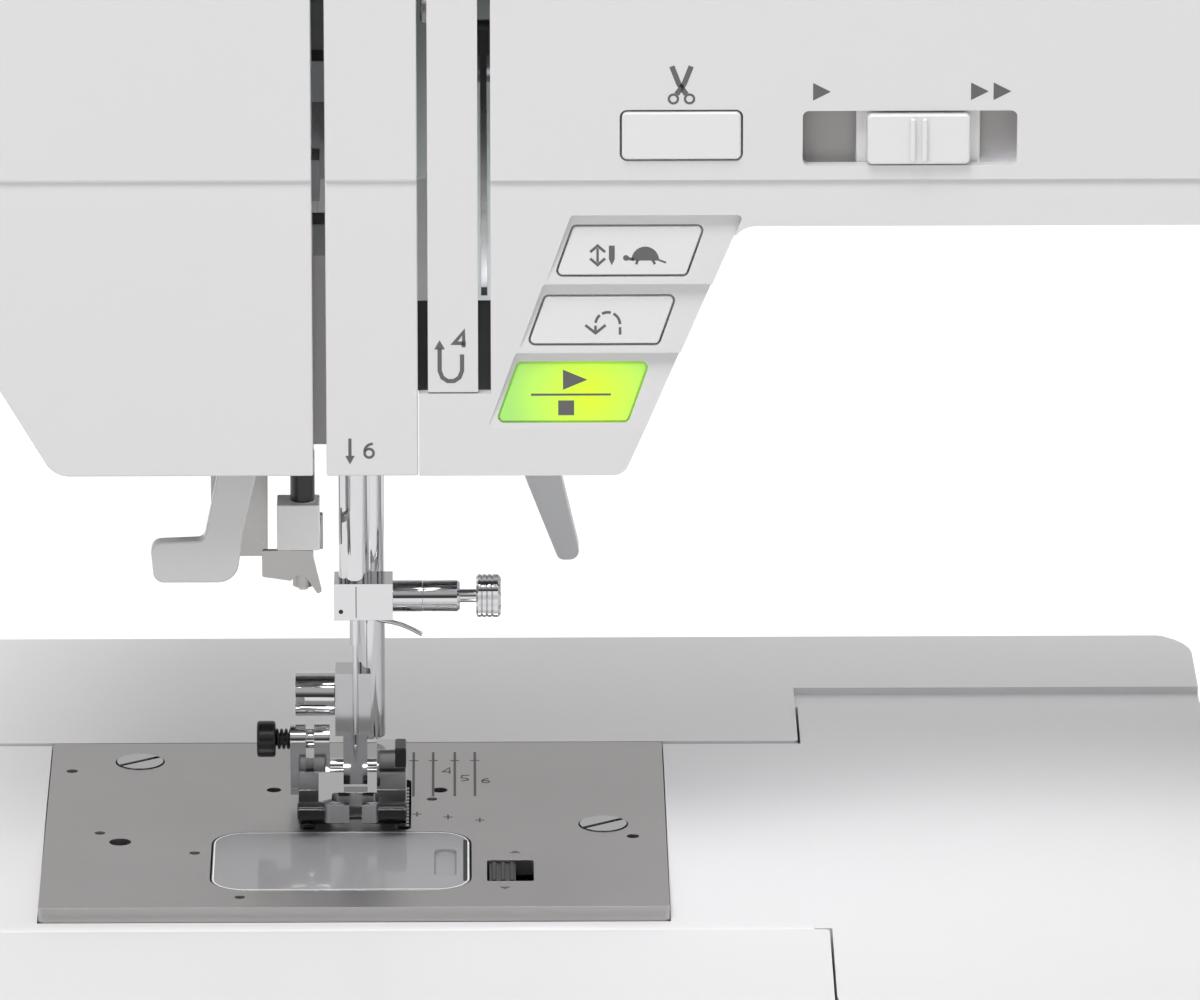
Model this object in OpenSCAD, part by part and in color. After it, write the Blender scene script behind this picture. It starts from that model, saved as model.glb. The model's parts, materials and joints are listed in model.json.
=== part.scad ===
// Computerised household sewing machine with a free arm and a clip-on extension table.
// Every length is in millimetres. Inside the modules, X = 0 and Y = 0 is the needle, +X runs
// towards the handwheel, -Y towards the person sewing, and Z = 0 is the table top.

/* [Overall] */
// Height of the needle plate above the table top
plate_z = 88; // [84:1:100]
// Clear height between the needle plate and the arm
throat_h = 128; // [112:1:150]
// Clear width between the needle and the column
throat_w = 185; // [165:1:220]
// Height of the arm, from its underside to its top
arm_h = 88; // [80:1:104]
// Width of the column
column_w = 133; // [125:1:160]
// Thickness of the plastic covers
wall = 2.5; // [1.8:0.1:3.0]

/* [Head] */
// Clear height between the needle plate and the head
head_clear = 79.4; // [72:0.2:90]
// Left side of the head, from the needle
head_left = 76; // [70:1:90]
// Front face of the body, from the needle
body_front = 34; // [33:0.5:40]
// Rear face of the body, from the needle
body_rear = 62; // [60:1:72]

/* [Needle and presser foot] */
// Diameter of the needle bar
needle_bar_d = 6.1; // [5.6:0.1:6.6]
// Stroke of the needle bar
needle_stroke = 33; // [28:1:34]
// Widest zigzag, in both directions together
zigzag_w = 7; // [5:0.5:7]
// Diameter of the presser bar
presser_bar_d = 6; // [5.4:0.1:6.4]
// Lift of the presser foot
foot_lift = 6; // [5:0.5:7]

/* [Bed] */
// Width of the needle plate
plate_w = 119; // [110:1:126]
// Thickness of the needle plate
plate_t = 3; // [2.6:0.1:3.4]
// Depth of the free arm
arm_depth = 101.5; // [100:0.5:110]
// Height of the free arm
free_arm_t = 62; // [60:1:66]
// Diameter of the rotary hook
hook_d = 40; // [36:0.5:40.5]
// Depth of the base
base_depth = 172; // [160:1:180]

/* [Extension table] */
// Reach of the table to the left of the free arm
table_left = 67; // [50:1:90]
// Reach of the table in front of the free arm
table_front = 48.5; // [40:0.5:70]
// Reach of the table behind the free arm
table_rear = 68.5; // [60:0.5:90]
// Height of the table's skirt
table_t = 24; // [18:1:28]

/* [Handwheel and controls] */
// Diameter of the handwheel
handwheel_d = 66; // [56:1:74]
// Thickness of the handwheel
handwheel_t = 20; // [16:1:26]
// Travel of each push button
button_travel = 1.2; // [0.8:0.1:1.4]
// Gap round each push button
button_gap = 0.4; // [0.3:0.05:0.6]

/* [Hidden] */
$fn = 48;

fit = 0.06;             // radial clearance of a shaft that turns or slides in its bore
gap = 0.4;              // gap between neighbouring plastic pieces

// Levels
head_z = plate_z + head_clear;
arm_z = plate_z + throat_h;
top_z = arm_z + arm_h;
column_x1 = throat_w + column_w;
cover_y = 14;           // joint line between the front and rear covers
front_y = -body_front;
inner_front_y = front_y + wall;
head_open_y = front_y + 4.5;   // front edge of the opening under the head

// Slots and panels in the head's front, from left to right
slot_a = [-7.3, -4.8];
slot_c = [12.4, 14.3];
slot_e = [23.7, 26.1];
slot_bottom_z = plate_z + 95.5;
slot_top_z = top_z - 16;
seam = 0.3;
crease_depth = 0.8;

// Bed
arm_rear_y = 45.5;
arm_front_y = arm_rear_y - arm_depth;
arm_left_x = -82;
base_x = 86.7;
base_step_x = 90;
base_rear_y = 71;
base_front_y = base_rear_y - base_depth;
base_bottom_z = 9;
crease_y = 6.3;         // the bed's top is level behind this line and falls away in front of it
bed_fall = 0.0505;      // fall of the bed's top per millimetre towards the front
foot_h = 5;
arm_bottom_z = plate_z - free_arm_t;

// Shafts
shaft_y = 14;
shaft_z = top_z - 44;
shaft_r = 5;
lower_y = 0;
lower_z = plate_z - 42;
belt_x = throat_w + 47;
belt_w = 9;
pulley_r = 12;
big_pulley_r = 26;
big_pulley_x = belt_x + belt_w + 7;
motor_pulley_r = 6.5;
motor_y = 30;
motor_z = shaft_z - 96;
motor_r = 22;
belt_t = 1.4;
belt_gap = 0.3;

// Needle, presser bar and hook
needle_bar_r = needle_bar_d / 2;
presser_r = presser_bar_d / 2;
presser_x = 2.7;
presser_y = 9.5;
swing_z = top_z - 18;   // pivot of the zigzag frame
clamp_z0 = plate_z + 41.2;
clamp_z1 = plate_z + 48.5;
clamp_mid_z = (clamp_z0 + clamp_z1) / 2;
hook_y = -21;
hook_r = hook_d / 2;
holder_z = plate_z + 22;    // screw that holds the foot holder
foot_pin_y = 7.5;
foot_pin_z = plate_z + 8.2;
level_z = plate_z + 14.1;
level_y = 6;

// Extension table
table_gap = 0.5;
table_x0 = arm_left_x - table_gap - table_left;
table_y0 = arm_front_y - table_gap - table_front;
table_y1 = arm_rear_y + table_gap + table_rear;
table_x1 = 166.5;
table_wall = 3;
leg_r = 6;

// The body's own frame has its origin under the middle of the whole machine
wheel_gap = 2;
wheel_x0 = column_x1 + wheel_gap;
wheel_x1 = wheel_x0 + handwheel_t;
mid_x = (table_x0 + wheel_x1) / 2;
mid_y = (table_y0 + table_y1) / 2;

// ---------- outlines ----------

function unit(v) = v / norm(v);
function xy(p) = [p[0], p[1]];
function turn(a, b, c) = (b[0] - a[0]) * (c[1] - b[1]) - (b[1] - a[1]) * (c[0] - b[0]);

// One corner [x, y, radius] as the points of its arc
function corner(p, q, s, steps = 7) =
    q[2] < 0.05 ? [xy(q)] :
    let (a = unit(xy(p) - xy(q)),
         b = unit(xy(s) - xy(q)),
         half = acos(a * b) / 2,
         centre = xy(q) + unit(a + b) * q[2] / sin(half),
         t0 = xy(q) + a * q[2] / tan(half) - centre,
         sweep = (turn(p, q, s) > 0 ? 1 : -1) * (180 - 2 * half),
         start = atan2(t0[1], t0[0]))
    [for (i = [0 : steps])
        centre + q[2] * [cos(start + sweep * i / steps), sin(start + sweep * i / steps)]];

function at(list, i) = list[(i + len(list)) % len(list)];
function rounded(list) =
    [for (i = [0 : len(list) - 1]) each corner(at(list, i - 1), list[i], at(list, i + 1))];

// The outline moved inwards by d. The corners are listed anticlockwise.
function inward(a, b) = let (d = unit(xy(b) - xy(a))) [-d[1], d[0]];
function inset(list, d) =
    [for (i = [0 : len(list) - 1])
        let (p = at(list, i - 1), q = list[i], s = at(list, i + 1),
             n1 = inward(p, q), n2 = inward(q, s),
             move = (n1 + n2) * d / (1 + n1 * n2),
             r = q[2] < 0.05 ? 0 : turn(p, q, s) > 0 ? max(q[2] - d, 0.3) : q[2] + d)
        [q[0] + move[0], q[1] + move[1], r]];

function rect(x0, y0, x1, y1, r) = [[x0, y0, r], [x1, y0, r], [x1, y1, r], [x0, y1, r]];

module flat(list) { polygon(rounded(list)); }
module span_x(x0, x1) { translate([x0, 0, 0]) rotate([90, 0, 90]) linear_extrude(x1 - x0) children(); }
module span_y(y0, y1) { translate([0, y1, 0]) rotate([90, 0, 0]) linear_extrude(y1 - y0) children(); }
module span_z(z0, z1) { translate([0, 0, z0]) linear_extrude(z1 - z0) children(); }
module box(a, b) { translate(a) cube(b - a); }
module rod_x(x0, x1, y, z, r) { translate([x0, y, z]) rotate([0, 90, 0]) cylinder(h = x1 - x0, r = r); }
module rod_y(y0, y1, x, z, r) { translate([x, y1, z]) rotate([90, 0, 0]) cylinder(h = y1 - y0, r = r); }
module rod_z(z0, z1, x, y, r) { translate([x, y, z0]) cylinder(h = z1 - z0, r = r); }
module place() { translate([-mid_x, -mid_y, 0]) children(); }

// ---------- outer shapes shared by several covers ----------

// Front view of head, arm and column
body_outline = [
    [-56, head_z, 5],
    [51, head_z, 3],
    [72.5, arm_z, 5],
    [throat_w, arm_z, 14],
    [throat_w, plate_z, 0],
    [column_x1, plate_z, 0],
    [column_x1, top_z, 22],
    [-head_left, top_z, 26],
    [-head_left, head_z + 34, 20]
];

// Side view of the bed, which falls away towards the front
function bed_z(y) = plate_z - bed_fall * (crease_y - y);
arm_profile = [
    [arm_front_y, arm_bottom_z, 8],
    [arm_rear_y, arm_bottom_z, 8],
    [arm_rear_y, plate_z, 1.5],
    [crease_y, plate_z, 0],
    [arm_front_y, bed_z(arm_front_y), 2]
];

module body(d, y0, y1) { span_y(y0, y1) flat(inset(body_outline, d)); }

// The head is open below, where the bars and levers hang out
module head_opening() {
    box([-36, head_open_y, head_z - 1], [46, 56, head_z + wall + 1]);
}
module column_foot_opening() {
    box([throat_w + 5, -24, plate_z - wall - 8], [column_x1 - 10, body_rear - 10, plate_z + wall + 1]);
}

// ---------- lid, tray and handle on top ----------

tray_x0 = 60;
tray_x1 = column_x1 - 92;
tray_y0 = -20;
tray_y1 = 40;
tray_wall = 2;
tray_z0 = top_z - 34;
lid_t = 3.6;
lid_lap = 3;
handle_x0 = tray_x0 - 13;
handle_x1 = tray_x1 + 13;
handle_pivot_y = body_rear - 5;
handle_pivot_z = top_z - 8;
handle_reach = 48;
handle_t = 9;
recess_y = body_rear - 10;
recess_z0 = handle_pivot_z - handle_reach - 12;

module handle_recess(grow) {
    box([handle_x0 - 2 - grow, recess_y - grow, recess_z0 - grow],
        [handle_x1 + 2 + grow, body_rear + 1, top_z + 1]);
}
module tray_opening(grow) {
    span_z(tray_z0 - 1, top_z + 1)
        flat(rect(tray_x0 - grow, tray_y0 - grow, tray_x1 + grow, tray_y1 + grow, 4 + grow));
}
// The shallow step in the covers that the lid lies in
module lid_step() {
    span_z(top_z - lid_t, top_z + 1)
        flat(rect(tray_x0 - lid_lap - gap, tray_y0 - lid_lap - gap,
                  tray_x1 + lid_lap + gap, tray_y1 + lid_lap + gap, 6));
}
module lid_ledge() {
    span_z(top_z - lid_t - wall, top_z - 0.01)
        flat(rect(tray_x0 - lid_lap - gap - wall, tray_y0 - lid_lap - gap - wall,
                  tray_x1 + lid_lap + gap + wall, tray_y1 + lid_lap + gap + wall, 8));
}

// ---------- push buttons on the head ----------

lean = 0.36;            // sideways lean of the button edges per millimetre of height
function lean_box(x, z0, z1, w) =
    [[x, z0, 0.8], [x + w, z0, 0.8], [x + w + lean * (z1 - z0), z1, 0.8], [x + lean * (z1 - z0), z1, 0.8]];
// left end at the bottom, bottom, top
button_rows = [[38.4, 118.6, 127.6], [33.2, 105.2, 114], [27.4, 90.1, 100.9]];
button_w = 24.2;
facet_tops = [130.2, 116.8, 103.4];
facet_depth = 1.8;

module lean_button(row, y0, y1) {
    b = button_rows[row];
    span_y(y0, y1) flat(lean_box(b[0], plate_z + b[1], plate_z + b[2], button_w));
}
// The face of a row slopes and runs out to the side of the head. It lies deepest at its top.
module facet_space(row, out = 0) {
    b = button_rows[row];
    h = facet_tops[row] - b[1] + 1.5;
    translate([0, front_y - out, plate_z + b[1] - 1.5])
        rotate([-atan(facet_depth / h), 0, 0])
            translate([0, -20, -20]) cube([200, 20, 60]);
}
module facet_cut(row) {
    b = button_rows[row];
    intersection() {
        span_y(front_y - 1, front_y + facet_depth + 1)
            flat(lean_box(b[0] - 2, plate_z + b[1] - 1.5, plate_z + facet_tops[row], button_w + 8));
        facet_space(row);
    }
}
module button_hole(row) {
    b = button_rows[row];
    span_y(front_y - 1, inner_front_y + 1)
        flat(inset(lean_box(b[0], plate_z + b[1], plate_z + b[2], button_w), -button_gap));
}
module head_button(row) {
    difference() {
        lean_button(row, front_y - 1, inner_front_y + 2);
        facet_space(row, 0.2);
    }
}

cutter_box = [50.6, 141.1, 72.8, 150.2];
slider_box = [84.3, 139.7, 124.3, 150.3];
slider_knob = [96.3, 115.5];
function on_front(b, grow, r) =
    rect(b[0] - grow, plate_z + b[1] - grow, b[2] + grow, plate_z + b[3] + grow, r);

// ---------- display ----------

display_x0 = throat_w + 20;
display_x1 = column_x1 - 21;
display_z0 = top_z - 108;
display_z1 = top_z - 44;
bezel_w = 6;

// ---------- covers ----------

white = [0.93, 0.93, 0.94];
light_grey = [0.72, 0.72, 0.73];
dark_grey = [0.25, 0.25, 0.26];
steel = [0.66, 0.64, 0.63];
chrome = [0.82, 0.83, 0.85];
aluminium = [0.62, 0.64, 0.66];

base_plan = [
    [base_step_x, base_front_y, 12],
    [column_x1, base_front_y, 16],
    [column_x1, base_rear_y, 12],
    [base_x, base_rear_y, 2],
    [base_x, arm_front_y, 0],
    [base_step_x, arm_front_y, 0]
];
function base_profile(bottom) = [
    [base_front_y, bottom, 3],
    [base_rear_y, bottom, 3],
    [base_rear_y, plate_z, 2.5],
    [crease_y, plate_z, 0],
    [base_front_y, bed_z(base_front_y), 8]
];
module base_solid(d, bottom) {
    intersection() {
        span_x(base_x + d, column_x1 - d) flat(inset(base_profile(bottom), d));
        span_z(0, plate_z + 1) flat(inset(base_plan, d));
    }
}
// Everything below the level of the bed, which the column is cut to fit
module below_bed() { span_x(base_x, column_x1 + 1) flat(base_profile(0)); }

switch_y = -20;
switch_z = base_bottom_z + 26;
switch_r = 10.4;
inlet_y = 14;
jack_y = 40;
socket_z = base_bottom_z + 24;
window_y0 = arm_front_y + 4;
plate_x = plate_w / 2;

module base_plate() {
    color(dark_grey) place()
        span_z(foot_h, base_bottom_z) flat(inset(base_plan, 1.5));
}

rubber_places = [
    [base_step_x + 20, base_front_y + 20], [column_x1 - 20, base_front_y + 20],
    [base_x + 20, base_rear_y - 18], [column_x1 - 20, base_rear_y - 18]
];
module rubber_feet() {
    color(dark_grey) place()
        for (p = rubber_places) rod_z(0, foot_h, p[0], p[1], 9);
}

module bed_cover() {
    color(white) place() difference() {
        base_solid(0, base_bottom_z);
        base_solid(wall, base_bottom_z - wall - 1);
        box([base_x - 1, arm_front_y + wall, arm_bottom_z + wall],
            [base_step_x + wall + 1, arm_rear_y - wall, plate_z - wall - 2]);
        column_foot_opening();
        box([column_x1 - wall - 1, switch_y - 6.4, switch_z - switch_r - gap],
            [column_x1 + 1, switch_y + 6.4, switch_z + switch_r + gap]);
        box([column_x1 - wall - 1, inlet_y - 10, socket_z - 8],
            [column_x1 + 1, inlet_y + 10, socket_z + 8]);
        rod_x(column_x1 - wall - 1, column_x1 + 1, jack_y, socket_z, 7);
    }
}

module free_arm_cover() {
    color(white) place() difference() {
        intersection() {
            span_x(arm_left_x, base_x) flat(arm_profile);
            span_z(0, plate_z + 1) flat([[arm_left_x, arm_front_y, 6], [base_x, arm_front_y, 0],
                                         [base_x, arm_rear_y, 0], [arm_left_x, arm_rear_y, 6]]);
        }
        span_x(arm_left_x + wall, base_x + 1) flat(inset(arm_profile, wall));
        box([-plate_x - gap / 2, window_y0 - gap / 2, plate_z - plate_t - 5],
            [plate_x + gap / 2, arm_rear_y + 1, plate_z + 1]);
    }
}

module lifter_notch() {
    box([lifter_x - 9, lifter_y - 6.5, head_z - 1], [lifter_x + 38, lifter_y + 6.5, head_z + 22]);
}
module front_wall(x0, x1, z0, z1) { box([x0, front_y - 1, z0], [x1, head_open_y + 0.1, z1]); }

// The shell of head, arm and column, before it is divided
module whole_shell() {
    difference() {
        union() {
            difference() {
                body(0, -body_front, body_rear);
                body(wall, inner_front_y, body_rear - wall);
            }
            intersection() {
                lid_ledge();
                body(0, -body_front, body_rear);
            }
            intersection() {
                handle_recess(wall);
                body(0, -body_front, body_rear);
            }
        }
        lid_step();
        tray_opening(gap);
        handle_recess(0);
        for (x = [handle_x0, handle_x1]) rod_x(x - 6, x + 6, handle_pivot_y, handle_pivot_z, 3 + fit);
        head_opening();
        column_foot_opening();
        lifter_notch();
        front_crease();
        below_bed();
        rod_x(column_x1 - wall - 1, column_x1 + 1, shaft_y, shaft_z, shaft_r + 1.5);
        box([dial_x - 1, -dial_half, top_z - wall - 1], [dial_x + dial_t + 1, dial_half, top_z + 1]);
    }
}
// A shallow crease across the front, at the level of the arm's lower edge
module front_crease() {
    span_x(-head_left - 1, throat_w + 8)
        polygon([[front_y - 1, arm_z + 4.6], [front_y, arm_z + 4.6],
                 [front_y + crease_depth, arm_z + 9], [front_y - 1, arm_z + 9]]);
}
// The part that belongs to the face cover: the left end and the panel between the slots
module face_space(grow = 0) {
    box([-head_left - 1, -body_front - 1, 0], [slot_a[0] + grow, body_rear + 1, top_z + 1]);
    box([slot_a[1] - grow, -body_front - 1, 0], [slot_c[0] + grow, head_open_y + grow, slot_top_z + 1]);
    box([slot_a[0] - 1, -body_front - 1, slot_top_z], [slot_c[0] + grow, inner_front_y, top_z - wall - 1]);
}

module face_cover() {
    color(white) place() intersection() {
        whole_shell();
        face_space();
    }
}

module front_cover() {
    color(white) place() difference() {
        intersection() {
            whole_shell();
            box([slot_a[0], -body_front - 1, 0], [column_x1 + 1, cover_y, top_z + 1]);
        }
        face_space(seam / 2);
        front_wall(slot_a[0] - 1, slot_c[0], head_z - 1, slot_top_z);
        front_wall(slot_c[0] - 1, slot_e[1], slot_bottom_z, slot_top_z);
        for (row = [0 : 2]) {
            facet_cut(row);
            button_hole(row);
        }
        span_y(front_y - 1, inner_front_y + 1) flat(on_front(cutter_box, button_gap, 1.4));
        span_y(front_y - 1, inner_front_y + 1) flat(on_front(slider_box, 0, 1.2));
        span_z(arm_z - 1, arm_z + wall + 1) flat(lamp_strip(0.2));
        box([display_x0 + 4, front_y - 1, display_z0 + 4],
            [display_x1 - 4, inner_front_y + 1, display_z1 - 4]);
    }
}

module rear_cover() {
    color(white) place() difference() {
        intersection() {
            whole_shell();
            box([slot_a[0], cover_y, 0], [column_x1 + 1, body_rear + 1, top_z + 1]);
        }
        for (x = [throat_w + 40 : 6 : throat_w + 88])
            span_y(body_rear - wall - 1, body_rear + 1)
                flat(rect(x, plate_z + 30, x + 3, plate_z + 62, 1.4));
    }
}

module thread_tongue() {
    color(white) place() difference() {
        box([slot_c[1], front_y, slot_bottom_z + seam], [slot_e[0], front_y + 8, slot_top_z + 4]);
        box([slot_c[1] + wall, inner_front_y, slot_bottom_z + 2],
            [slot_e[0] - wall, front_y + 9, slot_top_z + 5]);
        box([slot_c[1] - 1, front_y - 1, slot_top_z - 0.05],
            [slot_e[0] + 1, inner_front_y + 0.2, slot_top_z + 5]);
    }
}

// ---------- needle plate, bobbin cover and fasteners ----------

cover_win = [-27.5, -42.4, 22.2, -8];
latch_win = [25.1, -37.3, 34, -25.1];
plate_screws_at = [[-42.3, 34.3], [47.5, -4.1]];
dog_rows = [[-10.2, -4, 20], [-5.2, 6, 20], [3, 6, 20], [8, -4, 20]];
dog_w = 2.2;
// x, y and radius of the small holes for accessories
plate_holes = [
    [-55.4, 28.9, 1.1], [-45, -13.7, 2.1], [-49, -8.3, 1], [-30.6, -20.3, 1], [-21.6, -46, 1],
    [-16, 17, 1.4], [16.1, 16.6, 1.5], [14.6, 11.2, 1], [53.1, -11.3, 1.2]
];

module needle_plate() {
    color(steel) place() difference() {
        span_z(plate_z - plate_t, plate_z) flat(rect(-plate_x, window_y0, plate_x, arm_rear_y, 1));
        span_z(plate_z - plate_t - 1, plate_z + 1)
            flat(rect(cover_win[0], cover_win[1], cover_win[2], cover_win[3], 7));
        span_z(plate_z - plate_t - 1, plate_z + 1)
            flat(rect(latch_win[0], latch_win[1], latch_win[2], latch_win[3], 0.6));
        span_z(plate_z - plate_t - 1, plate_z + 1)
            flat(rect(-zigzag_w / 2 - 0.9, -0.9, zigzag_w / 2 + 0.9, 0.9, 0.85));
        for (row = dog_rows)
            span_z(plate_z - plate_t - 1, plate_z + 1)
                flat(rect(row[0] - 0.4, row[1] - 3, row[0] + dog_w + 0.4, row[2] + 3, 1.2));
        for (p = plate_holes) rod_z(plate_z - plate_t - 1, plate_z + 1, p[0], p[1], p[2]);
        for (p = plate_screws_at) rod_z(plate_z - plate_t - 1, plate_z + 1, p[0], p[1], 2.6);
        for (p = plate_screws_at) rod_z(plate_z - 1.2, plate_z + 1, p[0], p[1], 4.8);
    }
}

module plate_screws() {
    color(chrome) place()
        for (p = plate_screws_at) difference() {
            union() {
                rod_z(plate_z - 1.2, plate_z + 0.2, p[0], p[1], 4.5);
                rod_z(plate_z - plate_t - 0.5, plate_z - 1.1, p[0], p[1], 2);
            }
            translate([p[0], p[1], plate_z]) rotate([0, 0, 35]) cube([10, 1.1, 1.2], center = true);
        }
}

module bobbin_cover() {
    color([0.85, 0.88, 0.9, 0.5]) place() difference() {
        span_z(plate_z - 1.6, plate_z)
            flat(rect(cover_win[0] + 0.3, cover_win[1] + 0.3, cover_win[2] - 0.3, cover_win[3] - 0.3, 6.7));
        span_z(plate_z - 1, plate_z + 1)
            flat(rect(cover_win[2] - 7, cover_win[1] + 8, cover_win[2] - 3, -18, 1.8));
    }
}

latch_travel = 3;
module bobbin_latch() {
    color(dark_grey) place() {
        box([latch_win[0] + 0.4, latch_win[1] + 0.4, plate_z - 2.2],
            [latch_win[2] - 0.4 - latch_travel, latch_win[3] - 0.4, plate_z - 0.4]);
        for (i = [0 : 2])
            box([latch_win[0] + 1 + 1.7 * i, latch_win[1] + 1, plate_z - 0.5],
                [latch_win[0] + 1.7 + 1.7 * i, latch_win[3] - 1, plate_z]);
    }
}

// ---------- inner frame ----------

bearing_r = shaft_r + fit;
pivot_r = 2.5;
frame_y0 = 34;
frame_y1 = 42;
post_x0 = throat_w + 7;
post_x1 = throat_w + 37;
lever_pin_y = 10;
lever_pin_z = plate_z + 150;
lifter_x = 27;
lifter_y = 50;
lifter_z = head_z + 7;
rod_x0 = -9.65;
rod_y0 = -12;
rod_r = 2.25;
guide_z = arm_z;
feed_pin_x = 9;
feed_pin_y = 35;
hook_seat_z = plate_z - 28;

module machine_frame() {
    color(aluminium) place() difference() {
        union() {
            // upright, arm and bed
            box([post_x0, -10, base_bottom_z], [post_x1, 40, arm_z + 28]);
            box([34, -5, arm_z + 8], [post_x1, frame_y1 + 1, arm_z + 28]);
            box([-60, 26, lower_z - 12], [post_x0, frame_y1 - 1, lower_z + 12]);
            // shaft pedestals
            box([40, 4, arm_z + 27], [50, 24, shaft_z + 8]);
            box([post_x0 + 8, 4, arm_z + 27], [post_x0 + 20, 24, shaft_z + 8]);
            box([post_x1 - 1, frame_y1 + 1, arm_z + 8], [big_pulley_x + 26, frame_y1 + 7, arm_z + 28]);
            box([post_x1 - 1, frame_y1 - 4, arm_z + 8], [post_x1 + 6, frame_y1 + 2, arm_z + 28]);
            box([big_pulley_x + 16, 4, arm_z + 8], [big_pulley_x + 26, frame_y1 + 7, shaft_z + 8]);
            box([18, -9, lower_z - 9], [26, 27, lower_z + 9]);
            // head plate with the guides of the presser bar and the pivots
            box([-20, frame_y0, arm_z - 10], [34.01, frame_y1, top_z - 8]);
            for (z = [arm_z - 4, arm_z + 28]) box([-4, 5.5, z], [7.5, frame_y0 + 1, z + 8]);
            box([-8, 13.5, top_z - 24], [8, frame_y0 + 1, top_z - 12]);
            rod_y(-6, 14, 0, swing_z, pivot_r);
            rod_x(20, 35, lever_pin_y, lever_pin_z, 3);
            box([lifter_x - 6, frame_y1 - 6, lifter_z - 6], [lifter_x + 6, frame_y1, arm_z - 9]);
            rod_y(frame_y1 - 1, lifter_y + 6, lifter_x, lifter_z, pivot_r);
            box([-28, -16, guide_z], [-20, frame_y1 - 2, guide_z + 8]);
            box([-28, frame_y0, guide_z], [-19, frame_y1 - 2, guide_z + 8]);
            box([-28, -16, guide_z], [-6, -8, guide_z + 8]);
            // seat of the hook and posts under the needle plate
            box([-24, -30, hook_seat_z - 7], [-14, 27, hook_seat_z]);
            box([-24, -30, hook_seat_z - 7], [9, -13.5, hook_seat_z]);
            for (x = [-54, 46]) {
                box([x, window_y0 + 3, lower_z + 4], [x + 8, 27, lower_z + 12]);
                box([x, window_y0 + 3, lower_z + 11], [x + 8, window_y0 + 9, plate_z - plate_t]);
                box([x, 26, lower_z + 11], [x + 8, frame_y1 - 1, plate_z - plate_t]);
            }
            for (x = [-feed_pin_x, feed_pin_x]) rod_z(lower_z + 11, plate_z - 8, x, feed_pin_y, 2);
        }
        rod_x(39, big_pulley_x + 30, shaft_y, shaft_z, bearing_r);
        rod_x(17, belt_x, lower_y, lower_z, bearing_r);
        for (z = [arm_z - 5, arm_z + 27]) rod_z(z, z + 11, presser_x, presser_y, presser_r + fit);
        rod_z(hook_seat_z - 8, hook_seat_z + 1, 0, hook_y, 4 + fit);
        rod_z(guide_z - 1, guide_z + 9, rod_x0, rod_y0, rod_r + fit);
    }
}

// ---------- shafts, pulleys and hook ----------

module upper_shaft() {
    color(steel) place() union() {
        rod_x(18, wheel_x0 + handwheel_t / 2, shaft_y, shaft_z, shaft_r);
        rod_x(13, 19, shaft_y, shaft_z, 17);
        rod_x(8, 14, shaft_y, shaft_z + 12, 3);
        rod_x(belt_x, belt_x + belt_w, shaft_y, shaft_z, pulley_r);
        rod_x(big_pulley_x, big_pulley_x + belt_w, shaft_y, shaft_z, big_pulley_r);
    }
}

module handwheel() {
    color(white) place() difference() {
        union() {
            rod_x(wheel_x0 + 3, wheel_x1, shaft_y, shaft_z, handwheel_d / 2 - 1.2);
            rod_x(wheel_x0 + 5, wheel_x1 - 2, shaft_y, shaft_z, handwheel_d / 2);
            rod_x(wheel_x0, wheel_x0 + 4, shaft_y, shaft_z, handwheel_d / 2 - 9);
        }
        rod_x(wheel_x0 - 1, wheel_x0 + handwheel_t / 2, shaft_y, shaft_z, shaft_r);
        rod_x(wheel_x1 - 5, wheel_x1 + 1, shaft_y, shaft_z, handwheel_d / 2 - 7);
        for (a = [0 : 15 : 345])
            translate([0, shaft_y, shaft_z]) rotate([a, 0, 0])
                rod_x(wheel_x0 + 4, wheel_x1 - 1, handwheel_d / 2 + 1, 0, 2);
    }
}

lower_gear_r = 12;
hook_gear_r = -hook_y - lower_gear_r - 0.5;
module lower_shaft() {
    color(steel) place() union() {
        rod_x(-16, belt_x + belt_w, lower_y, lower_z, shaft_r);
        rod_x(-7, 7, lower_y, lower_z, lower_gear_r);
        rod_x(belt_x, belt_x + belt_w, lower_y, lower_z, pulley_r);
    }
}

module rotary_hook() {
    color(chrome) place() difference() {
        union() {
            rod_z(hook_seat_z + 0.4, plate_z - 7, 0, hook_y, hook_r);
            rod_z(lower_z - 10, hook_seat_z + 1, 0, hook_y, 4);
            rod_z(lower_z - 8, lower_z + 6, 0, hook_y, hook_gear_r);
        }
        rod_z(hook_seat_z + 3, plate_z - 6, 0, hook_y, hook_r - 2);
    }
}

module bobbin_case() {
    color(dark_grey) place() difference() {
        union() {
            rod_z(hook_seat_z + 3.4, plate_z - 6, 0, hook_y, hook_r - 2.4);
            box([-hook_r - 3, hook_y - 3, plate_z - 6.6], [-hook_r + 4, hook_y + 3, plate_z - 5]);
        }
        rod_z(hook_seat_z + 5.4, plate_z - 4, 0, hook_y, bobbin_r + 0.5);
    }
}

bobbin_r = 10.2;
module bobbin() {
    color([0.8, 0.84, 0.88, 0.6]) place() difference() {
        union() {
            rod_z(hook_seat_z + 5.8, hook_seat_z + 7, 0, hook_y, bobbin_r);
            rod_z(hook_seat_z + 16.2, hook_seat_z + 17.4, 0, hook_y, bobbin_r);
            rod_z(hook_seat_z + 6, hook_seat_z + 17, 0, hook_y, 4.5);
        }
        rod_z(hook_seat_z + 5, hook_seat_z + 18, 0, hook_y, 3);
    }
}

motor_x0 = big_pulley_x + belt_w + 5;
motor_shaft_r = 3;
module motor_pulley() {
    color(steel) place() union() {
        rod_x(big_pulley_x, big_pulley_x + belt_w, motor_y, motor_z, motor_pulley_r);
        rod_x(big_pulley_x, motor_x0 + 12, motor_y, motor_z, motor_shaft_r);
    }
}

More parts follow.
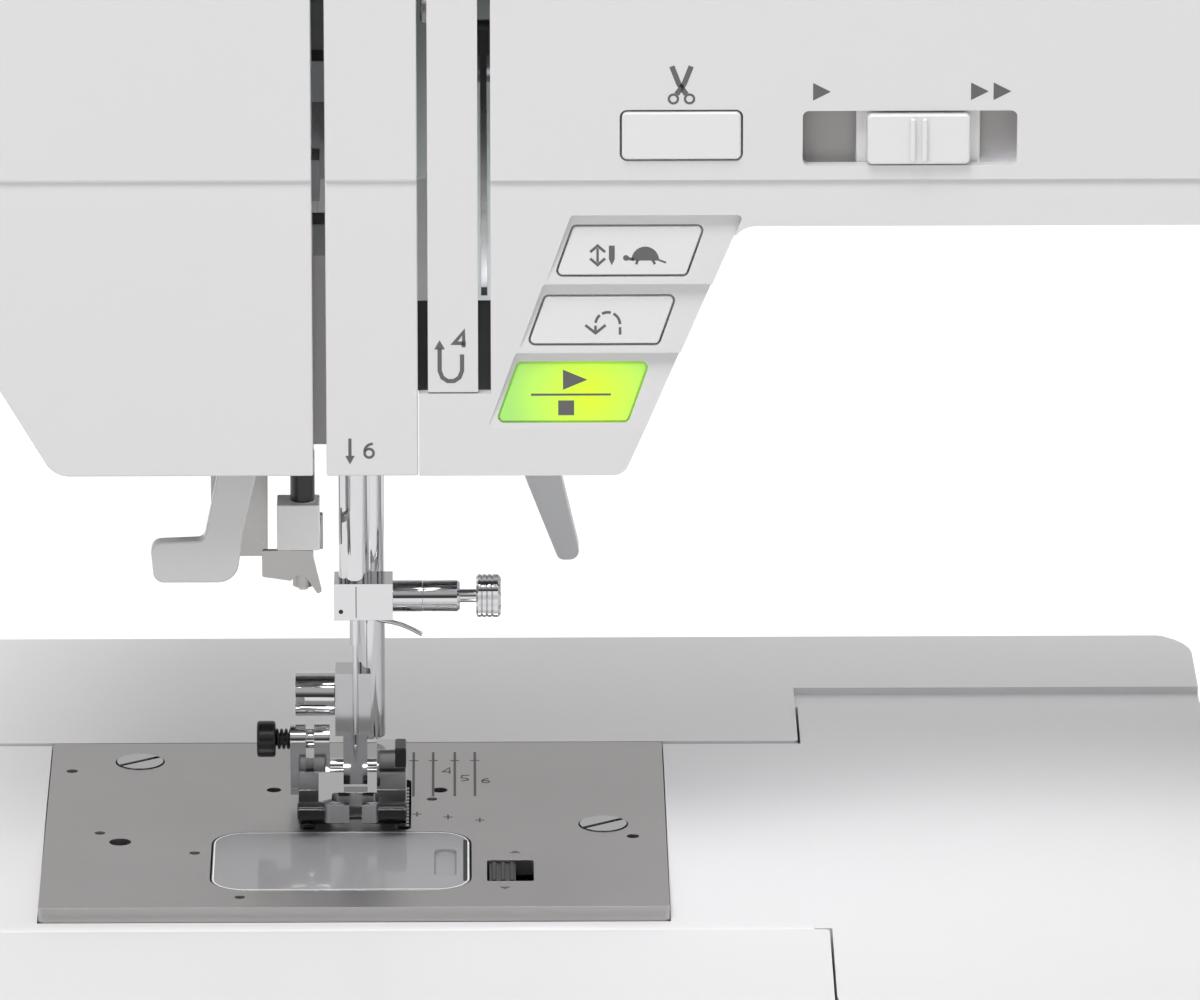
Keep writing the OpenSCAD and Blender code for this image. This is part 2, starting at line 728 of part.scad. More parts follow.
module drive_motor() {
    color(dark_grey) place() difference() {
        union() {
            rod_x(motor_x0, motor_x0 + 40, motor_y, motor_z, motor_r);
            box([motor_x0 - 3, motor_y - 16, motor_z - 24], [motor_x0 + 1, frame_y1 + 12, motor_z + 24]);
            box([post_x1 - 8, frame_y1 + 1, motor_z - 20], [motor_x0 - 2, frame_y1 + 12, motor_z + 20]);
            box([post_x1 - 8, 40, motor_z - 20], [post_x1, frame_y1 + 2, motor_z + 20]);
        }
        rod_x(motor_x0 - 4, motor_x0 + 12.5, motor_y, motor_z, motor_shaft_r + fit);
    }
}

module belt(x, y0, z0, r0, y1, z1, r1) {
    span_x(x + 0.5, x + belt_w - 0.5) difference() {
        hull() {
            translate([y0, z0]) circle(r0 + belt_gap + belt_t);
            translate([y1, z1]) circle(r1 + belt_gap + belt_t);
        }
        hull() {
            translate([y0, z0]) circle(r0 + belt_gap);
            translate([y1, z1]) circle(r1 + belt_gap);
        }
    }
}
module belts() {
    color(dark_grey) place() {
        belt(belt_x, shaft_y, shaft_z, pulley_r, lower_y, lower_z, pulley_r);
        belt(big_pulley_x, shaft_y, shaft_z, big_pulley_r, motor_y, motor_z, motor_pulley_r);
    }
}

// ---------- electrics ----------

module circuit_boards() {
    color([0.1, 0.4, 0.2]) place() union() {
        box([throat_w + 14, inner_front_y + 6, plate_z + 12],
            [column_x1 - 18, inner_front_y + 8, display_z0 - 4]);
        for (i = [0 : 3])
            box([throat_w + 24 + 24 * i, inner_front_y + 7.9, plate_z + 22],
                [throat_w + 38 + 24 * i, inner_front_y + 12, plate_z + 34]);
    }
}

stepper_r = 16;
module stepper_motors() {
    color(steel) place() {
        rod_x(-62, -44, 22, arm_z + 20, stepper_r);
        rod_x(-46, -40, 22, arm_z + 20, 3);
        rod_x(112, 130, -28, lower_z, stepper_r);
        rod_x(106, 114, -28, lower_z + 9, 3);
    }
}

module rear_sockets() {
    color(dark_grey) place() {
        difference() {
            box([column_x1 - 22, inlet_y - 10, socket_z - 8], [column_x1, inlet_y + 10, socket_z + 8]);
            box([column_x1 - 16, inlet_y - 7.5, socket_z - 5],
                [column_x1 + 1, inlet_y + 7.5, socket_z + 5]);
        }
        difference() {
            rod_x(column_x1 - 20, column_x1, jack_y, socket_z, 7);
            rod_x(column_x1 - 16, column_x1 + 1, jack_y, socket_z, jack_r);
        }
    }
}
jack_r = 3.2;

module power_switch() {
    color(dark_grey) place()
        translate([column_x1 - 5, 0, switch_z]) rotate([0, -8, 0])
            span_y(switch_y - 6, switch_y + 6) intersection() {
                circle(switch_r);
                polygon([[-6, -12], [5.4, -12], [4.2, 0], [5.4, 12], [-6, 12]]);
            }
}

module display_bezel() {
    color(light_grey) place() difference() {
        span_y(front_y - 1.5, front_y) flat(rect(display_x0, display_z0, display_x1, display_z1, 5));
        span_y(front_y - 2, front_y + 1)
            flat(rect(display_x0 + bezel_w, display_z0 + bezel_w,
                      display_x1 - bezel_w, display_z1 - bezel_w, 2));
    }
}
module display_glass() {
    color([0.1, 0.15, 0.2]) place()
        box([display_x0 + bezel_w - 1, front_y, display_z0 + bezel_w - 1],
            [display_x1 - bezel_w + 1, front_y + 3, display_z1 - bezel_w + 1]);
}

module head_lamp() {
    color([0.95, 0.96, 1]) place() box([29, -30, head_z + wall], [44, -14, head_z + wall + 5]);
}
function lamp_strip(grow) = rect(101.6 - grow, -24 - grow, 138.1 + grow, -14 + grow, 1.5);
module arm_lamp() {
    color([0.95, 0.96, 1]) place() span_z(arm_z - 0.6, arm_z + wall + 3) flat(lamp_strip(0));
}

// ---------- thread tension, lid, tray and handle ----------

dial_r = 15;
dial_x = -44;
dial_t = 7;
dial_z = top_z - 12;
dial_half = 12.8;
module tension_unit() {
    color(steel) place() union() {
        rod_x(-60, -20, 0, dial_z, pivot_r);
        for (x = [-34, -30, -26]) rod_x(x, x + 1.5, 0, dial_z, 9);
        box([-62, -8, dial_z - 16], [-59, frame_y1, dial_z + 6]);
        box([-62, frame_y0, dial_z - 30], [-20, frame_y1, dial_z - 15.9]);
    }
}
module tension_dial() {
    color(white) place() difference() {
        rod_x(dial_x, dial_x + dial_t, 0, dial_z, dial_r);
        rod_x(dial_x - 1, dial_x + dial_t + 1, 0, dial_z, pivot_r + fit);
    }
}

module spool_tray() {
    color(white) place() {
        difference() {
            span_z(tray_z0, top_z - lid_t) flat(rect(tray_x0, tray_y0, tray_x1, tray_y1, 4));
            span_z(tray_z0 + tray_wall, top_z)
                flat(rect(tray_x0 + tray_wall, tray_y0 + tray_wall,
                          tray_x1 - tray_wall, tray_y1 - tray_wall, 2));
            span_z(tray_z0 - 1, top_z)
                flat(rect(winder_x - 4, winder_y - 4, winder_x + 4 + winder_travel, winder_y + 4, 3.9));
        }
        rod_x(tray_x0 + tray_wall, tray_x0 + 76, 20, tray_z0 + 16, 3);
        rod_x(tray_x0 + tray_wall, tray_x0 + 8, 20, tray_z0 + 16, 8);
    }
}

winder_x = tray_x1 - 44;
winder_y = 10;
winder_travel = 5;
module bobbin_winder() {
    color(light_grey) place() union() {
        rod_z(tray_z0 - 4, tray_z0 + 26, winder_x, winder_y, 3);
        rod_z(tray_z0 + tray_wall + 0.3, tray_z0 + 5, winder_x, winder_y, 9);
    }
}

module top_lid() {
    color(white) place()
        span_z(top_z - lid_t, top_z)
            flat(rect(tray_x0 - lid_lap, tray_y0 - lid_lap, tray_x1 + lid_lap, tray_y1 + lid_lap, 5));
}

module carry_handle() {
    color(light_grey) place() union() {
        for (x = [handle_x0, handle_x1 - 10])
            box([x, handle_pivot_y - handle_t / 2, handle_pivot_z - handle_reach],
                [x + 10, handle_pivot_y + handle_t / 2, handle_pivot_z]);
        for (x = [handle_x0, handle_x1 - 10]) rod_x(x, x + 10, handle_pivot_y, handle_pivot_z, handle_t / 2);
        box([handle_x0, handle_pivot_y - handle_t / 2, handle_pivot_z - handle_reach - 8],
            [handle_x1, handle_pivot_y + handle_t / 2, handle_pivot_z - handle_reach + 8]);
        for (x = [handle_x0 - 4, handle_x1 - 1]) rod_x(x, x + 5, handle_pivot_y, handle_pivot_z, 3);
    }
}

// ---------- needle bar ----------

module needle_bar_frame() {
    color(aluminium) place() difference() {
        union() {
            box([-14, -4, arm_z - 18], [-8, 4, top_z - 12]);
            box([-9, -4, top_z - 23], [5, 4, top_z - 12]);
            for (z = [arm_z - 16, arm_z + 16]) box([-9, -4, z], [5.5, 4, z + 8]);
        }
        rod_y(-5, 5, 0, swing_z, pivot_r + fit);
        for (z = [arm_z - 17, arm_z + 15]) rod_z(z, z + 10, 0, 0, needle_bar_r + fit);
    }
}
module needle_bar() {
    color(chrome) place() rod_z(clamp_z0 + 2.5, arm_z + 27 + needle_stroke, 0, 0, needle_bar_r);
}
module needle_clamp() {
    color(chrome) place() difference() {
        union() {
            box([-3.9, -4, clamp_z0], [7.3, 4, clamp_z1]);
            rod_x(7.2, 13, 0, clamp_mid_z, 3);
        }
        rod_z(clamp_z0 + 2.5, clamp_z1 + 1, 0, 0, needle_bar_r);
        rod_z(clamp_z0 - 1, clamp_z0 + 3, 0, 0, 1);
        rod_x(4, 14, 0, clamp_mid_z, 1.5 + fit);
    }
}
module clamp_screw() {
    color(chrome) place() union() {
        rod_x(4.2, 14, 0, clamp_mid_z, 1.5);
        rod_x(13.2, 20.1, 0, clamp_mid_z, 3);
        rod_x(20, 23.3, 0, clamp_mid_z, 1.2);
        rod_x(23.2, 28, 0, clamp_mid_z, 4.4);
    }
}
needle_tip_z = plate_z + 11;
module needle() {
    color(chrome) place() difference() {
        union() {
            rod_z(clamp_z0 - 6, clamp_z0 + 2.5, 0, 0, 1);
            rod_z(needle_tip_z + 3, clamp_z0 - 5.9, 0, 0, 0.5);
            translate([0, 0, needle_tip_z]) cylinder(h = 3.1, r1 = 0.08, r2 = 0.5);
        }
        box([-0.2, -1, needle_tip_z + 4], [0.2, 1, needle_tip_z + 6]);
    }
}

module take_up_lever() {
    color(chrome) place() difference() {
        union() {
            span_x(24.3, 25.5)
                polygon([[lever_pin_y + 3, lever_pin_z + 5], [lever_pin_y - 4, lever_pin_z + 5],
                         [front_y + 3, plate_z + 119], [front_y + 1, plate_z + 116],
                         [front_y + 4, plate_z + 113.5], [lever_pin_y + 3, lever_pin_z - 5]]);
            rod_x(22, 28, lever_pin_y, lever_pin_z, 6);
        }
        rod_x(19, 30, lever_pin_y, lever_pin_z, 3 + fit);
        rod_x(23, 27, front_y + 4.5, plate_z + 116.2, 0.9);
    }
}

// ---------- presser foot ----------

module presser_bar() {
    color(chrome) place() rod_z(plate_z + 13.6, arm_z + 52 + foot_lift, presser_x, presser_y, presser_r);
}
module foot_holder() {
    color(chrome) place() difference() {
        union() {
            box([-3.9, 4.8, plate_z + 15], [2.9, 12, plate_z + 27.6]);
            box([-2.4, 4.8, foot_pin_z - 3], [2.2, 10.4, plate_z + 15.1]);
        }
        rod_z(plate_z + 13, plate_z + 28, presser_x, presser_y, presser_r);
        rod_x(-4, 4, foot_pin_y, foot_pin_z, foot_pin_r + fit);
        rod_x(-5, 0, presser_y, holder_z, 1.5 + fit);
    }
}
module holder_screw() {
    color(chrome) place() difference() {
        union() {
            rod_x(-11.6, -4, presser_y, holder_z, 4.2);
            rod_x(-4.1, -0.5, presser_y, holder_z, 1.5);
        }
        box([-12, presser_y - 5, holder_z - 0.6], [-9.8, presser_y + 5, holder_z + 0.6]);
    }
}
foot_pin_r = 1.4;
sole_z = plate_z + 1.2;
module presser_foot() {
    color(chrome) place() difference() {
        union() {
            span_x(-11, 9.7) polygon([[-13, sole_z + 5], [-12, sole_z + 3.4], [-7, sole_z], [21, sole_z],
                [22, sole_z + 1], [22, sole_z + 2.6], [-6, sole_z + 3.2], [-10, sole_z + 5.3]]);
            box([-12.6, 4.5, sole_z + 2], [-7.2, 10.5, foot_pin_z + 2.6]);
            box([4, 4.5, sole_z + 2], [9.6, 10.5, foot_pin_z + 4.2]);
            for (x = [-12.6, -8]) {
                box([x, level_y - 2.6, foot_pin_z], [x + 3, level_y + 3, level_z]);
                rod_x(x, x + 3, level_y + 0.2, level_z, 2.8);
            }
            rod_x(-12, -6, level_y + 0.2, level_z, 1.9);
            rod_x(-8, 6, foot_pin_y, foot_pin_z, foot_pin_r);
        }
        span_z(sole_z - 1, sole_z + 8) flat(rect(-4.6, -3.4, 4.6, 3, 1.4));
        span_z(sole_z - 1, sole_z + 8) flat([[-5.9, -14, 0], [4.3, -14, 0], [4.3, -7.5, 1], [-5.9, -7.5, 1]]);
        box([-1.2, -8, sole_z - 1], [1.2, -3, sole_z + 8]);
        rod_x(-13, -4, level_y, level_z, 1.2 + fit);
    }
}
module leveling_button() {
    color(dark_grey) place() union() {
        rod_x(-19, -15.4, level_y, level_z, 3.5);
        rod_x(-15.5, -7.4, level_y, level_z, 1.2);
    }
}

module foot_lifter() {
    color(light_grey) place() difference() {
        union() {
            rod_y(lifter_y - 4, lifter_y + 4, lifter_x, lifter_z, 6);
            span_y(lifter_y - 3, lifter_y + 3) flat([[39.4, plate_z + 37, 1.5], [43.8, plate_z + 37, 1.8],
                [40.3, plate_z + 52, 4], [lifter_x + 5.5, lifter_z + 1, 1],
                [lifter_x - 4.5, lifter_z - 3, 1], [33.6, plate_z + 52, 4]]);
        }
        rod_y(lifter_y - 5, lifter_y + 5, lifter_x, lifter_z, pivot_r + fit);
    }
}

// ---------- needle threader and buttonhole lever ----------

module threader_lever() {
    color(light_grey) place() union() {
        span_y(-24, -20.5) flat([[-37.7, plate_z + 55.2, 2], [-22, plate_z + 55.2, 4],
            [-20.9, plate_z + 65, 3], [-16.4, plate_z + 84, 3], [-16.4, plate_z + 121, 0],
            [-24, plate_z + 121, 0], [-24, plate_z + 84, 3], [-28.2, plate_z + 63.6, 1.5],
            [-38.4, plate_z + 63.2, 2]]);
        box([-23, -20.6, plate_z + 117], [-16.4, rod_y0 + 3, plate_z + 121]);
        box([-17, rod_y0 - 3, plate_z + 117], [rod_x0 - rod_r, rod_y0 + 3, plate_z + 121]);
    }
}
module threader_carrier() {
    color(chrome) place() union() {
        rod_z(plate_z + 67.8, arm_z + 48, rod_x0, rod_y0, rod_r);
        rod_z(plate_z + 50.2, plate_z + 59, rod_x0, rod_y0, 1);
        box([-14.5, rod_y0 - 3.6, plate_z + 58.9], [-6.4, rod_y0 + 3.6, plate_z + 67.9]);
    }
}
module threader_hook() {
    color(steel) place() difference() {
        union() {
            rod_z(plate_z + 51, plate_z + 58.6, rod_x0, rod_y0, 2);
            span_y(rod_y0 - 2.6, rod_y0 - 1.4) flat([[-17.4, plate_z + 53.4, 0.4],
                [-12, plate_z + 52.6, 0.4], [-9.8, plate_z + 54.4, 1], [-6.9, plate_z + 50, 0.3],
                [-6.1, plate_z + 50.4, 0.3], [-8, plate_z + 58.6, 0], [-17.4, plate_z + 58.6, 0.4]]);
        }
        rod_z(plate_z + 50, plate_z + 59, rod_x0, rod_y0, 1 + fit);
    }
}
module buttonhole_lever() {
    color(steel) place()
        span_y(14.2, 15.8) flat([[-27.6, plate_z + 48.4, 1], [-16.8, plate_z + 48.4, 1],
            [-16.3, plate_z + 118, 0], [-27.6, plate_z + 118, 0]]);
}

// ---------- push buttons ----------

module head_button_with_flange(row) {
    b = button_rows[row];
    union() {
        head_button(row);
        span_y(inner_front_y + 0.1, inner_front_y + 2)
            flat(inset(lean_box(b[0], plate_z + b[1], plate_z + b[2], button_w), -0.8));
    }
}
module needle_button() { color(white) place() head_button_with_flange(0); }
module reverse_button() { color(white) place() head_button_with_flange(1); }
module start_stop_button() { color([0.66, 0.85, 0.35]) place() head_button_with_flange(2); }
module cutter_button() {
    color(white) place() union() {
        span_y(front_y - button_travel / 2, inner_front_y + 2) flat(on_front(cutter_box, 0, 1));
        span_y(inner_front_y + 0.1, inner_front_y + 2) flat(on_front(cutter_box, 1.4, 1));
    }
}
module speed_slider() {
    color(white) place() union() {
        span_y(front_y - 1.2, inner_front_y + 1)
            flat(on_front([slider_knob[0], 140.2, slider_knob[1], 149.8], 0, 1));
        span_y(inner_front_y + 0.2, inner_front_y + 2)
            flat(on_front([slider_knob[0] - 2, 137, slider_knob[1] + 2, 153], 0, 1));
    }
}

// ---------- feed ----------

feed_rise = 1;
tooth_z = plate_z + 0.7 - feed_rise;   // tips of the lowered teeth
carriage_z = plate_z - 22;
module feed_carriage() {
    color(steel) place() difference() {
        box([-14, 9, carriage_z], [14, 39, carriage_z + 6]);
        for (x = [-feed_pin_x, feed_pin_x]) rod_z(carriage_z - 1, carriage_z + 7, x, feed_pin_y, 2 + fit);
    }
}
module feed_dog() {
    color(steel) place() union() {
        box([-12, 9, carriage_z + 6.1], [12, 26, plate_z - 5.4]);
        for (row = dog_rows) {
            box([row[0], row[1], plate_z - 5.5], [row[0] + dog_w, row[2], tooth_z - 0.7]);
            for (y = [row[1] : 2 : row[2] - 1])
                box([row[0], y, tooth_z - 0.8], [row[0] + dog_w, y + 1.1, tooth_z]);
        }
    }
}

// ---------- extension table ----------

table_left_x = base_step_x - table_gap;
table_top_x = base_x - table_gap;
groove_t = 1.5;         // depth of the groove along the rear of the bed
function table_profile(bottom) = [
    [table_y0, bottom, 1],
    [table_y1, bottom, 1],
    [table_y1, plate_z, 3],
    [crease_y, plate_z, 0],
    [table_y0, bed_z(table_y0), 5]
];
table_plan = [
    [table_x0, table_y0, 22],
    [table_left_x, table_y0, 3],
    [table_left_x, arm_front_y - table_gap, 1],
    [arm_left_x - table_gap, arm_front_y - table_gap, 4],
    [arm_left_x - table_gap, arm_rear_y + table_gap, 4],
    [table_top_x, arm_rear_y + table_gap, 1],
    [table_top_x, base_rear_y + table_gap, 1],
    [table_x1, base_rear_y + table_gap, 2],
    [table_x1, table_y1, 14],
    [table_x0, table_y1, 22]
];
leg_places = [
    [table_x0 + 20, table_y0 + 20], [table_left_x - 22, table_y0 + 20],
    [table_x0 + 20, table_y1 - 20], [table_x1 - 22, table_y1 - 18]
];
module extension_table() {
    color(white) place() union() {
        difference() {
            intersection() {
                span_x(table_x0, table_x1) flat(table_profile(plate_z - table_t));
                span_z(0, plate_z + 1) flat(table_plan);
            }
            intersection() {
                span_x(table_x0, table_x1)
                    flat(inset(table_profile(plate_z - table_t - table_wall - 1), table_wall));
                span_z(0, plate_z + 1) flat(inset(table_plan, table_wall));
            }
            box([table_top_x, base_rear_y, plate_z - groove_t], [table_x1 + 1, base_rear_y + 8, plate_z + 1]);
        }
        for (p = leg_places) rod_z(0, bed_z(min(p[1], crease_y)) - table_wall + 0.5, p[0], p[1], leg_r);
    }
}

base_plate();
rubber_feet();
machine_frame();
bed_cover();
free_arm_cover();
front_cover();
rear_cover();
face_cover();
thread_tongue();
needle_plate();
plate_screws();
display_bezel();
display_glass();
head_lamp();
arm_lamp();
tension_unit();
spool_tray();
drive_motor();
belts();
circuit_boards();
stepper_motors();
rear_sockets();
bobbin_case();
handwheel();
upper_shaft();
lower_shaft();
rotary_hook();
motor_pulley();
needle_bar_frame();
needle_bar();
needle_clamp();
needle();
clamp_screw();
take_up_lever();
presser_bar();
foot_holder();
holder_screw();
presser_foot();
leveling_button();
foot_lifter();
threader_lever();
threader_carrier();
threader_hook();
buttonhole_lever();
start_stop_button();
reverse_button();
needle_button();
cutter_button();
speed_slider();
carry_handle();
top_lid();
tension_dial();
bobbin_winder();
power_switch();
bobbin_cover();
bobbin_latch();
bobbin();
feed_carriage();
feed_dog();
extension_table();
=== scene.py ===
# %% [markdown]
# # A household sewing machine
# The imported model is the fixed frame: every piece below is made in its place, in metres.
# X runs along the bed to the handwheel, Y points away from the person sewing, Z is up.

# %% The frame
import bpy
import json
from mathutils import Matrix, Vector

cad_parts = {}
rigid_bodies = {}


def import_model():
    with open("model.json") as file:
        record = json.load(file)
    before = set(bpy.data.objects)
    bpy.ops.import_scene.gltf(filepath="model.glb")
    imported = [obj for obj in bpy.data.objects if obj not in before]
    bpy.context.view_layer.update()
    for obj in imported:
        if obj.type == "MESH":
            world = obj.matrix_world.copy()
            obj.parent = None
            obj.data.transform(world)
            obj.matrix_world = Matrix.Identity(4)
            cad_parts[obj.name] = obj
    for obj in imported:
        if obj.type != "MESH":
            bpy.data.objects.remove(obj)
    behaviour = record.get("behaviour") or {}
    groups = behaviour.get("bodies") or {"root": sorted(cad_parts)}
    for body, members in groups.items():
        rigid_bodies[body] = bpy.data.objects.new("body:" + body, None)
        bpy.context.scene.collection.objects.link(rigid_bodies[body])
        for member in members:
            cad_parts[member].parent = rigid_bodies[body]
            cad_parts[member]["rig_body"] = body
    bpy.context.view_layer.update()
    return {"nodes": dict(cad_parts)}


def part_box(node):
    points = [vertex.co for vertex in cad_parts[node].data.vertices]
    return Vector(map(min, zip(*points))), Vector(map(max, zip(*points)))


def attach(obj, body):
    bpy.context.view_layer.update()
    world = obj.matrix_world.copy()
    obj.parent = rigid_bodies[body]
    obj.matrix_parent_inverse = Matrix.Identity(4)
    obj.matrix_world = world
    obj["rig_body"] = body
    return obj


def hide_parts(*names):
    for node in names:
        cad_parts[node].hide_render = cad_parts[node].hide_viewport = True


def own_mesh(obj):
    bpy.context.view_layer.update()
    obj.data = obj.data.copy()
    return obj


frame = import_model()

import json
import math
import bmesh
import bpy
from mathutils import Matrix, Vector
from mathutils.bvhtree import BVHTree

MM = 0.001
nodes = frame["nodes"]
print("frame:", len(nodes), "nodes")

# %% [markdown]
# ## Places
# All places come from the frame. The needle's axis and the top of the needle plate are the
# natural reference of a sewing machine, so small details are placed from that point with `at`.

# %% Places
needle_low, needle_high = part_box("needle_bar")
plate_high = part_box("needle_plate")[1]
NEEDLE = Vector(((needle_low.x + needle_high.x) / 2, (needle_low.y + needle_high.y) / 2, plate_high.z))


def at(x, y, z):
    """A place in millimetres from the needle's hole in the plate, as a point in the frame"""
    return NEEDLE + Vector((x, y, z)) * MM


FRONT_Y = round((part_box("front_cover")[0].y - NEEDLE.y) / MM, 3)
HEAD_Z = round((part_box("face_cover")[0].z - NEEDLE.z) / MM, 3)
print("needle hole at", tuple(round(v, 4) for v in NEEDLE), "front face", FRONT_Y, "head bottom", HEAD_Z)

# %% [markdown]
# ## Camera
# A long lens, a little above the bed, looks down at the needle area from the front.

# %% Camera
PITCH = math.radians(17.37)
YAW = math.radians(0.65)
CAMERA_FROM_NEEDLE = Vector((21.142, -2272.681, 774.864)) * MM
camera_data = bpy.data.cameras.new("camera")
camera_data.sensor_width = 36.0
camera_data.lens = 374.4
camera_data.clip_start = 0.05
camera_data.clip_end = 60.0
camera = bpy.data.objects.new("camera", camera_data)
bpy.context.scene.collection.objects.link(camera)
camera.location = NEEDLE + CAMERA_FROM_NEEDLE
camera.rotation_euler = (math.pi / 2 - PITCH, 0.0, -YAW)
bpy.context.scene.camera = camera

# %% [markdown]
# ## Materials
# Every finish is a small node tree on Object coordinates, so its grain has a real size.
# A helper adds nodes and links, and each finish is one short function.

# %% Material helpers
def new_material(name):
    """An empty node material with its output and shader"""
    material = bpy.data.materials.new(name)
    material.use_nodes = True
    tree = material.node_tree
    shader = tree.nodes["Principled BSDF"]
    return material, tree, shader


def add(tree, kind, **values):
    """One node; values name its attributes or its input sockets"""
    made = tree.nodes.new(kind)
    for key, value in values.items():
        if hasattr(made, key):
            setattr(made, key, value)
        else:
            made.inputs[key.replace("_", " ")].default_value = value
    return made


def noise(tree, scale, detail=3.0, stretch=(1, 1, 1), roughness=0.5):
    """Noise with features of about 1/scale metres, drawn out along an axis by stretch"""
    place = add(tree, "ShaderNodeTexCoord")
    mapping = add(tree, "ShaderNodeMapping")
    mapping.inputs["Scale"].default_value = stretch
    made = add(tree, "ShaderNodeTexNoise", Scale=scale, Detail=detail, Roughness=roughness)
    tree.links.new(place.outputs["Object"], mapping.inputs["Vector"])
    tree.links.new(mapping.outputs["Vector"], made.inputs["Vector"])
    return made.outputs["Fac"]


def ramp(tree, value, stops):
    """A colour ramp over value, from a list of (place, colour)"""
    made = add(tree, "ShaderNodeValToRGB")
    elements = made.color_ramp.elements
    while len(elements) < len(stops):
        elements.new(0.5)
    for element, (place, colour) in zip(elements, stops):
        element.position = place
        element.color = (*colour, 1.0)
    tree.links.new(value, made.inputs["Fac"])
    return made.outputs["Color"]


def spread(tree, value, low, high):
    """Maps 0..1 to low..high"""
    made = add(tree, "ShaderNodeMapRange")
    made.inputs["To Min"].default_value = low
    made.inputs["To Max"].default_value = high
    tree.links.new(value, made.inputs["Value"])
    return made.outputs["Result"]


def bump(tree, shader, height, depth_mm, strength=1.0):
    """Raises the surface by depth_mm where height is 1"""
    made = add(tree, "ShaderNodeBump", Strength=strength, Distance=depth_mm * MM)
    tree.links.new(height, made.inputs["Height"])
    tree.links.new(made.outputs["Normal"], shader.inputs["Normal"])


# %% [markdown]
# Moulded plastic has a very fine spark-eroded grain and its gloss is never quite even, so the
# grain drives a shallow bump and a slower noise drives the roughness.

# %% Plastics
def plastic(name, colour, roughness, grain_mm=0.004, grain_scale=2600, tint=0.012, sheen=0.0):
    material, tree, shader = new_material(name)
    cloud = noise(tree, 9, 2)
    dark = tuple(c * (1 - tint) for c in colour)
    tree.links.new(ramp(tree, cloud, [(0.3, dark), (0.7, colour)]), shader.inputs["Base Color"])
    gloss = spread(tree, noise(tree, 60, 4), roughness * 0.88, roughness * 1.12)
    tree.links.new(gloss, shader.inputs["Roughness"])
    bump(tree, shader, noise(tree, grain_scale, 2), grain_mm, 0.5)
    shader.inputs["IOR"].default_value = 1.49
    shader.inputs["Coat Weight"].default_value = sheen
    shader.inputs["Coat Roughness"].default_value = 0.12
    return material


shell_white = plastic("satin_shell_white", (0.728, 0.718, 0.725), 0.34, sheen=0.15)
parts_white = plastic("gloss_white", (0.76, 0.76, 0.765), 0.22, grain_mm=0.002, sheen=0.3)
threader_white = plastic("threader_off_white", (0.63, 0.63, 0.635), 0.3, grain_mm=0.002, sheen=0.2)
lever_grey = plastic("lever_grey", (0.60, 0.60, 0.605), 0.4)
trim_grey = plastic("bezel_grey", (0.42, 0.43, 0.44), 0.38)
black_plastic = plastic("black_plastic", (0.012, 0.012, 0.013), 0.3, tint=0.3)
base_grey = plastic("base_dark_grey", (0.09, 0.09, 0.095), 0.5, tint=0.2)
print("plastics made")

# %% [markdown]
# Metals differ in how they were finished: chrome is nearly a mirror with faint waves, the plate
# is ground, so its scratches run one way, and castings are coarse.

# %% Metals
def metal(name, colour, roughness, grain_scale=900, stretch=(1, 1, 1), depth=0.002, spots=0.05):
    material, tree, shader = new_material(name)
    lines = noise(tree, grain_scale, 4, stretch, 0.6)
    cloud = noise(tree, 35, 3)
    dark = tuple(c * (1 - spots) for c in colour)
    tree.links.new(ramp(tree, cloud, [(0.3, dark), (0.7, colour)]), shader.inputs["Base Color"])
    tree.links.new(spread(tree, lines, roughness * 0.75, roughness * 1.25), shader.inputs["Roughness"])
    shader.inputs["Metallic"].default_value = 1.0
    bump(tree, shader, lines, depth, 0.4)
    return material


chrome = metal("polished_chrome", (0.64, 0.64, 0.65), 0.07, 300, depth=0.0015, spots=0.03)
ground_steel = metal("ground_plate_steel", (0.55, 0.535, 0.53), 0.34, 420, (0.12, 6, 1), 0.002, 0.04)
sheet_steel = metal("stamped_sheet_steel", (0.42, 0.41, 0.40), 0.3, 500, (1, 1, 5), 0.003, 0.08)
turned_steel = metal("turned_steel", (0.5, 0.5, 0.5), 0.22, 800, (6, 1, 1), 0.002)
# The take-up lever is chrome, but here it gets dark steel as painted shade, for the shadow it sits in inside
# its slot.
lever_steel_painted_shade = metal("take_up_lever_painted_shade", (0.16, 0.16, 0.165), 0.3, 600, depth=0.002)
cast_metal = metal("cast_aluminium", (0.5, 0.51, 0.52), 0.45, 700, depth=0.03, spots=0.12)
print("metals made")


# %% [markdown]
# The clear cover and the bobbin are thin polycarbonate; the screen is a dark gloss window;
# the lamps glow; the start button is lit from behind, brightest at its middle.

# %% Clear and lit finishes
def clear(name, colour, alpha, roughness=0.06):
    material, tree, shader = new_material(name)
    shader.inputs["Base Color"].default_value = (*colour, 1)
    shader.inputs["Alpha"].default_value = alpha
    gloss = spread(tree, noise(tree, 120, 3), roughness * 0.5, roughness * 1.6)
    tree.links.new(gloss, shader.inputs["Roughness"])
    shader.inputs["IOR"].default_value = 1.58
    bump(tree, shader, noise(tree, 70, 2), 0.01, 0.3)
    return material


def lamp_material(name, colour, power):
    material, tree, shader = new_material(name)
    shader.inputs["Base Color"].default_value = (*colour, 1)
    shader.inputs["Emission Color"].default_value = (*colour, 1)
    glow = spread(tree, noise(tree, 500, 2), power * 0.8, power * 1.2)
    tree.links.new(glow, shader.inputs["Emission Strength"])
    shader.inputs["Roughness"].default_value = 0.4
    return material


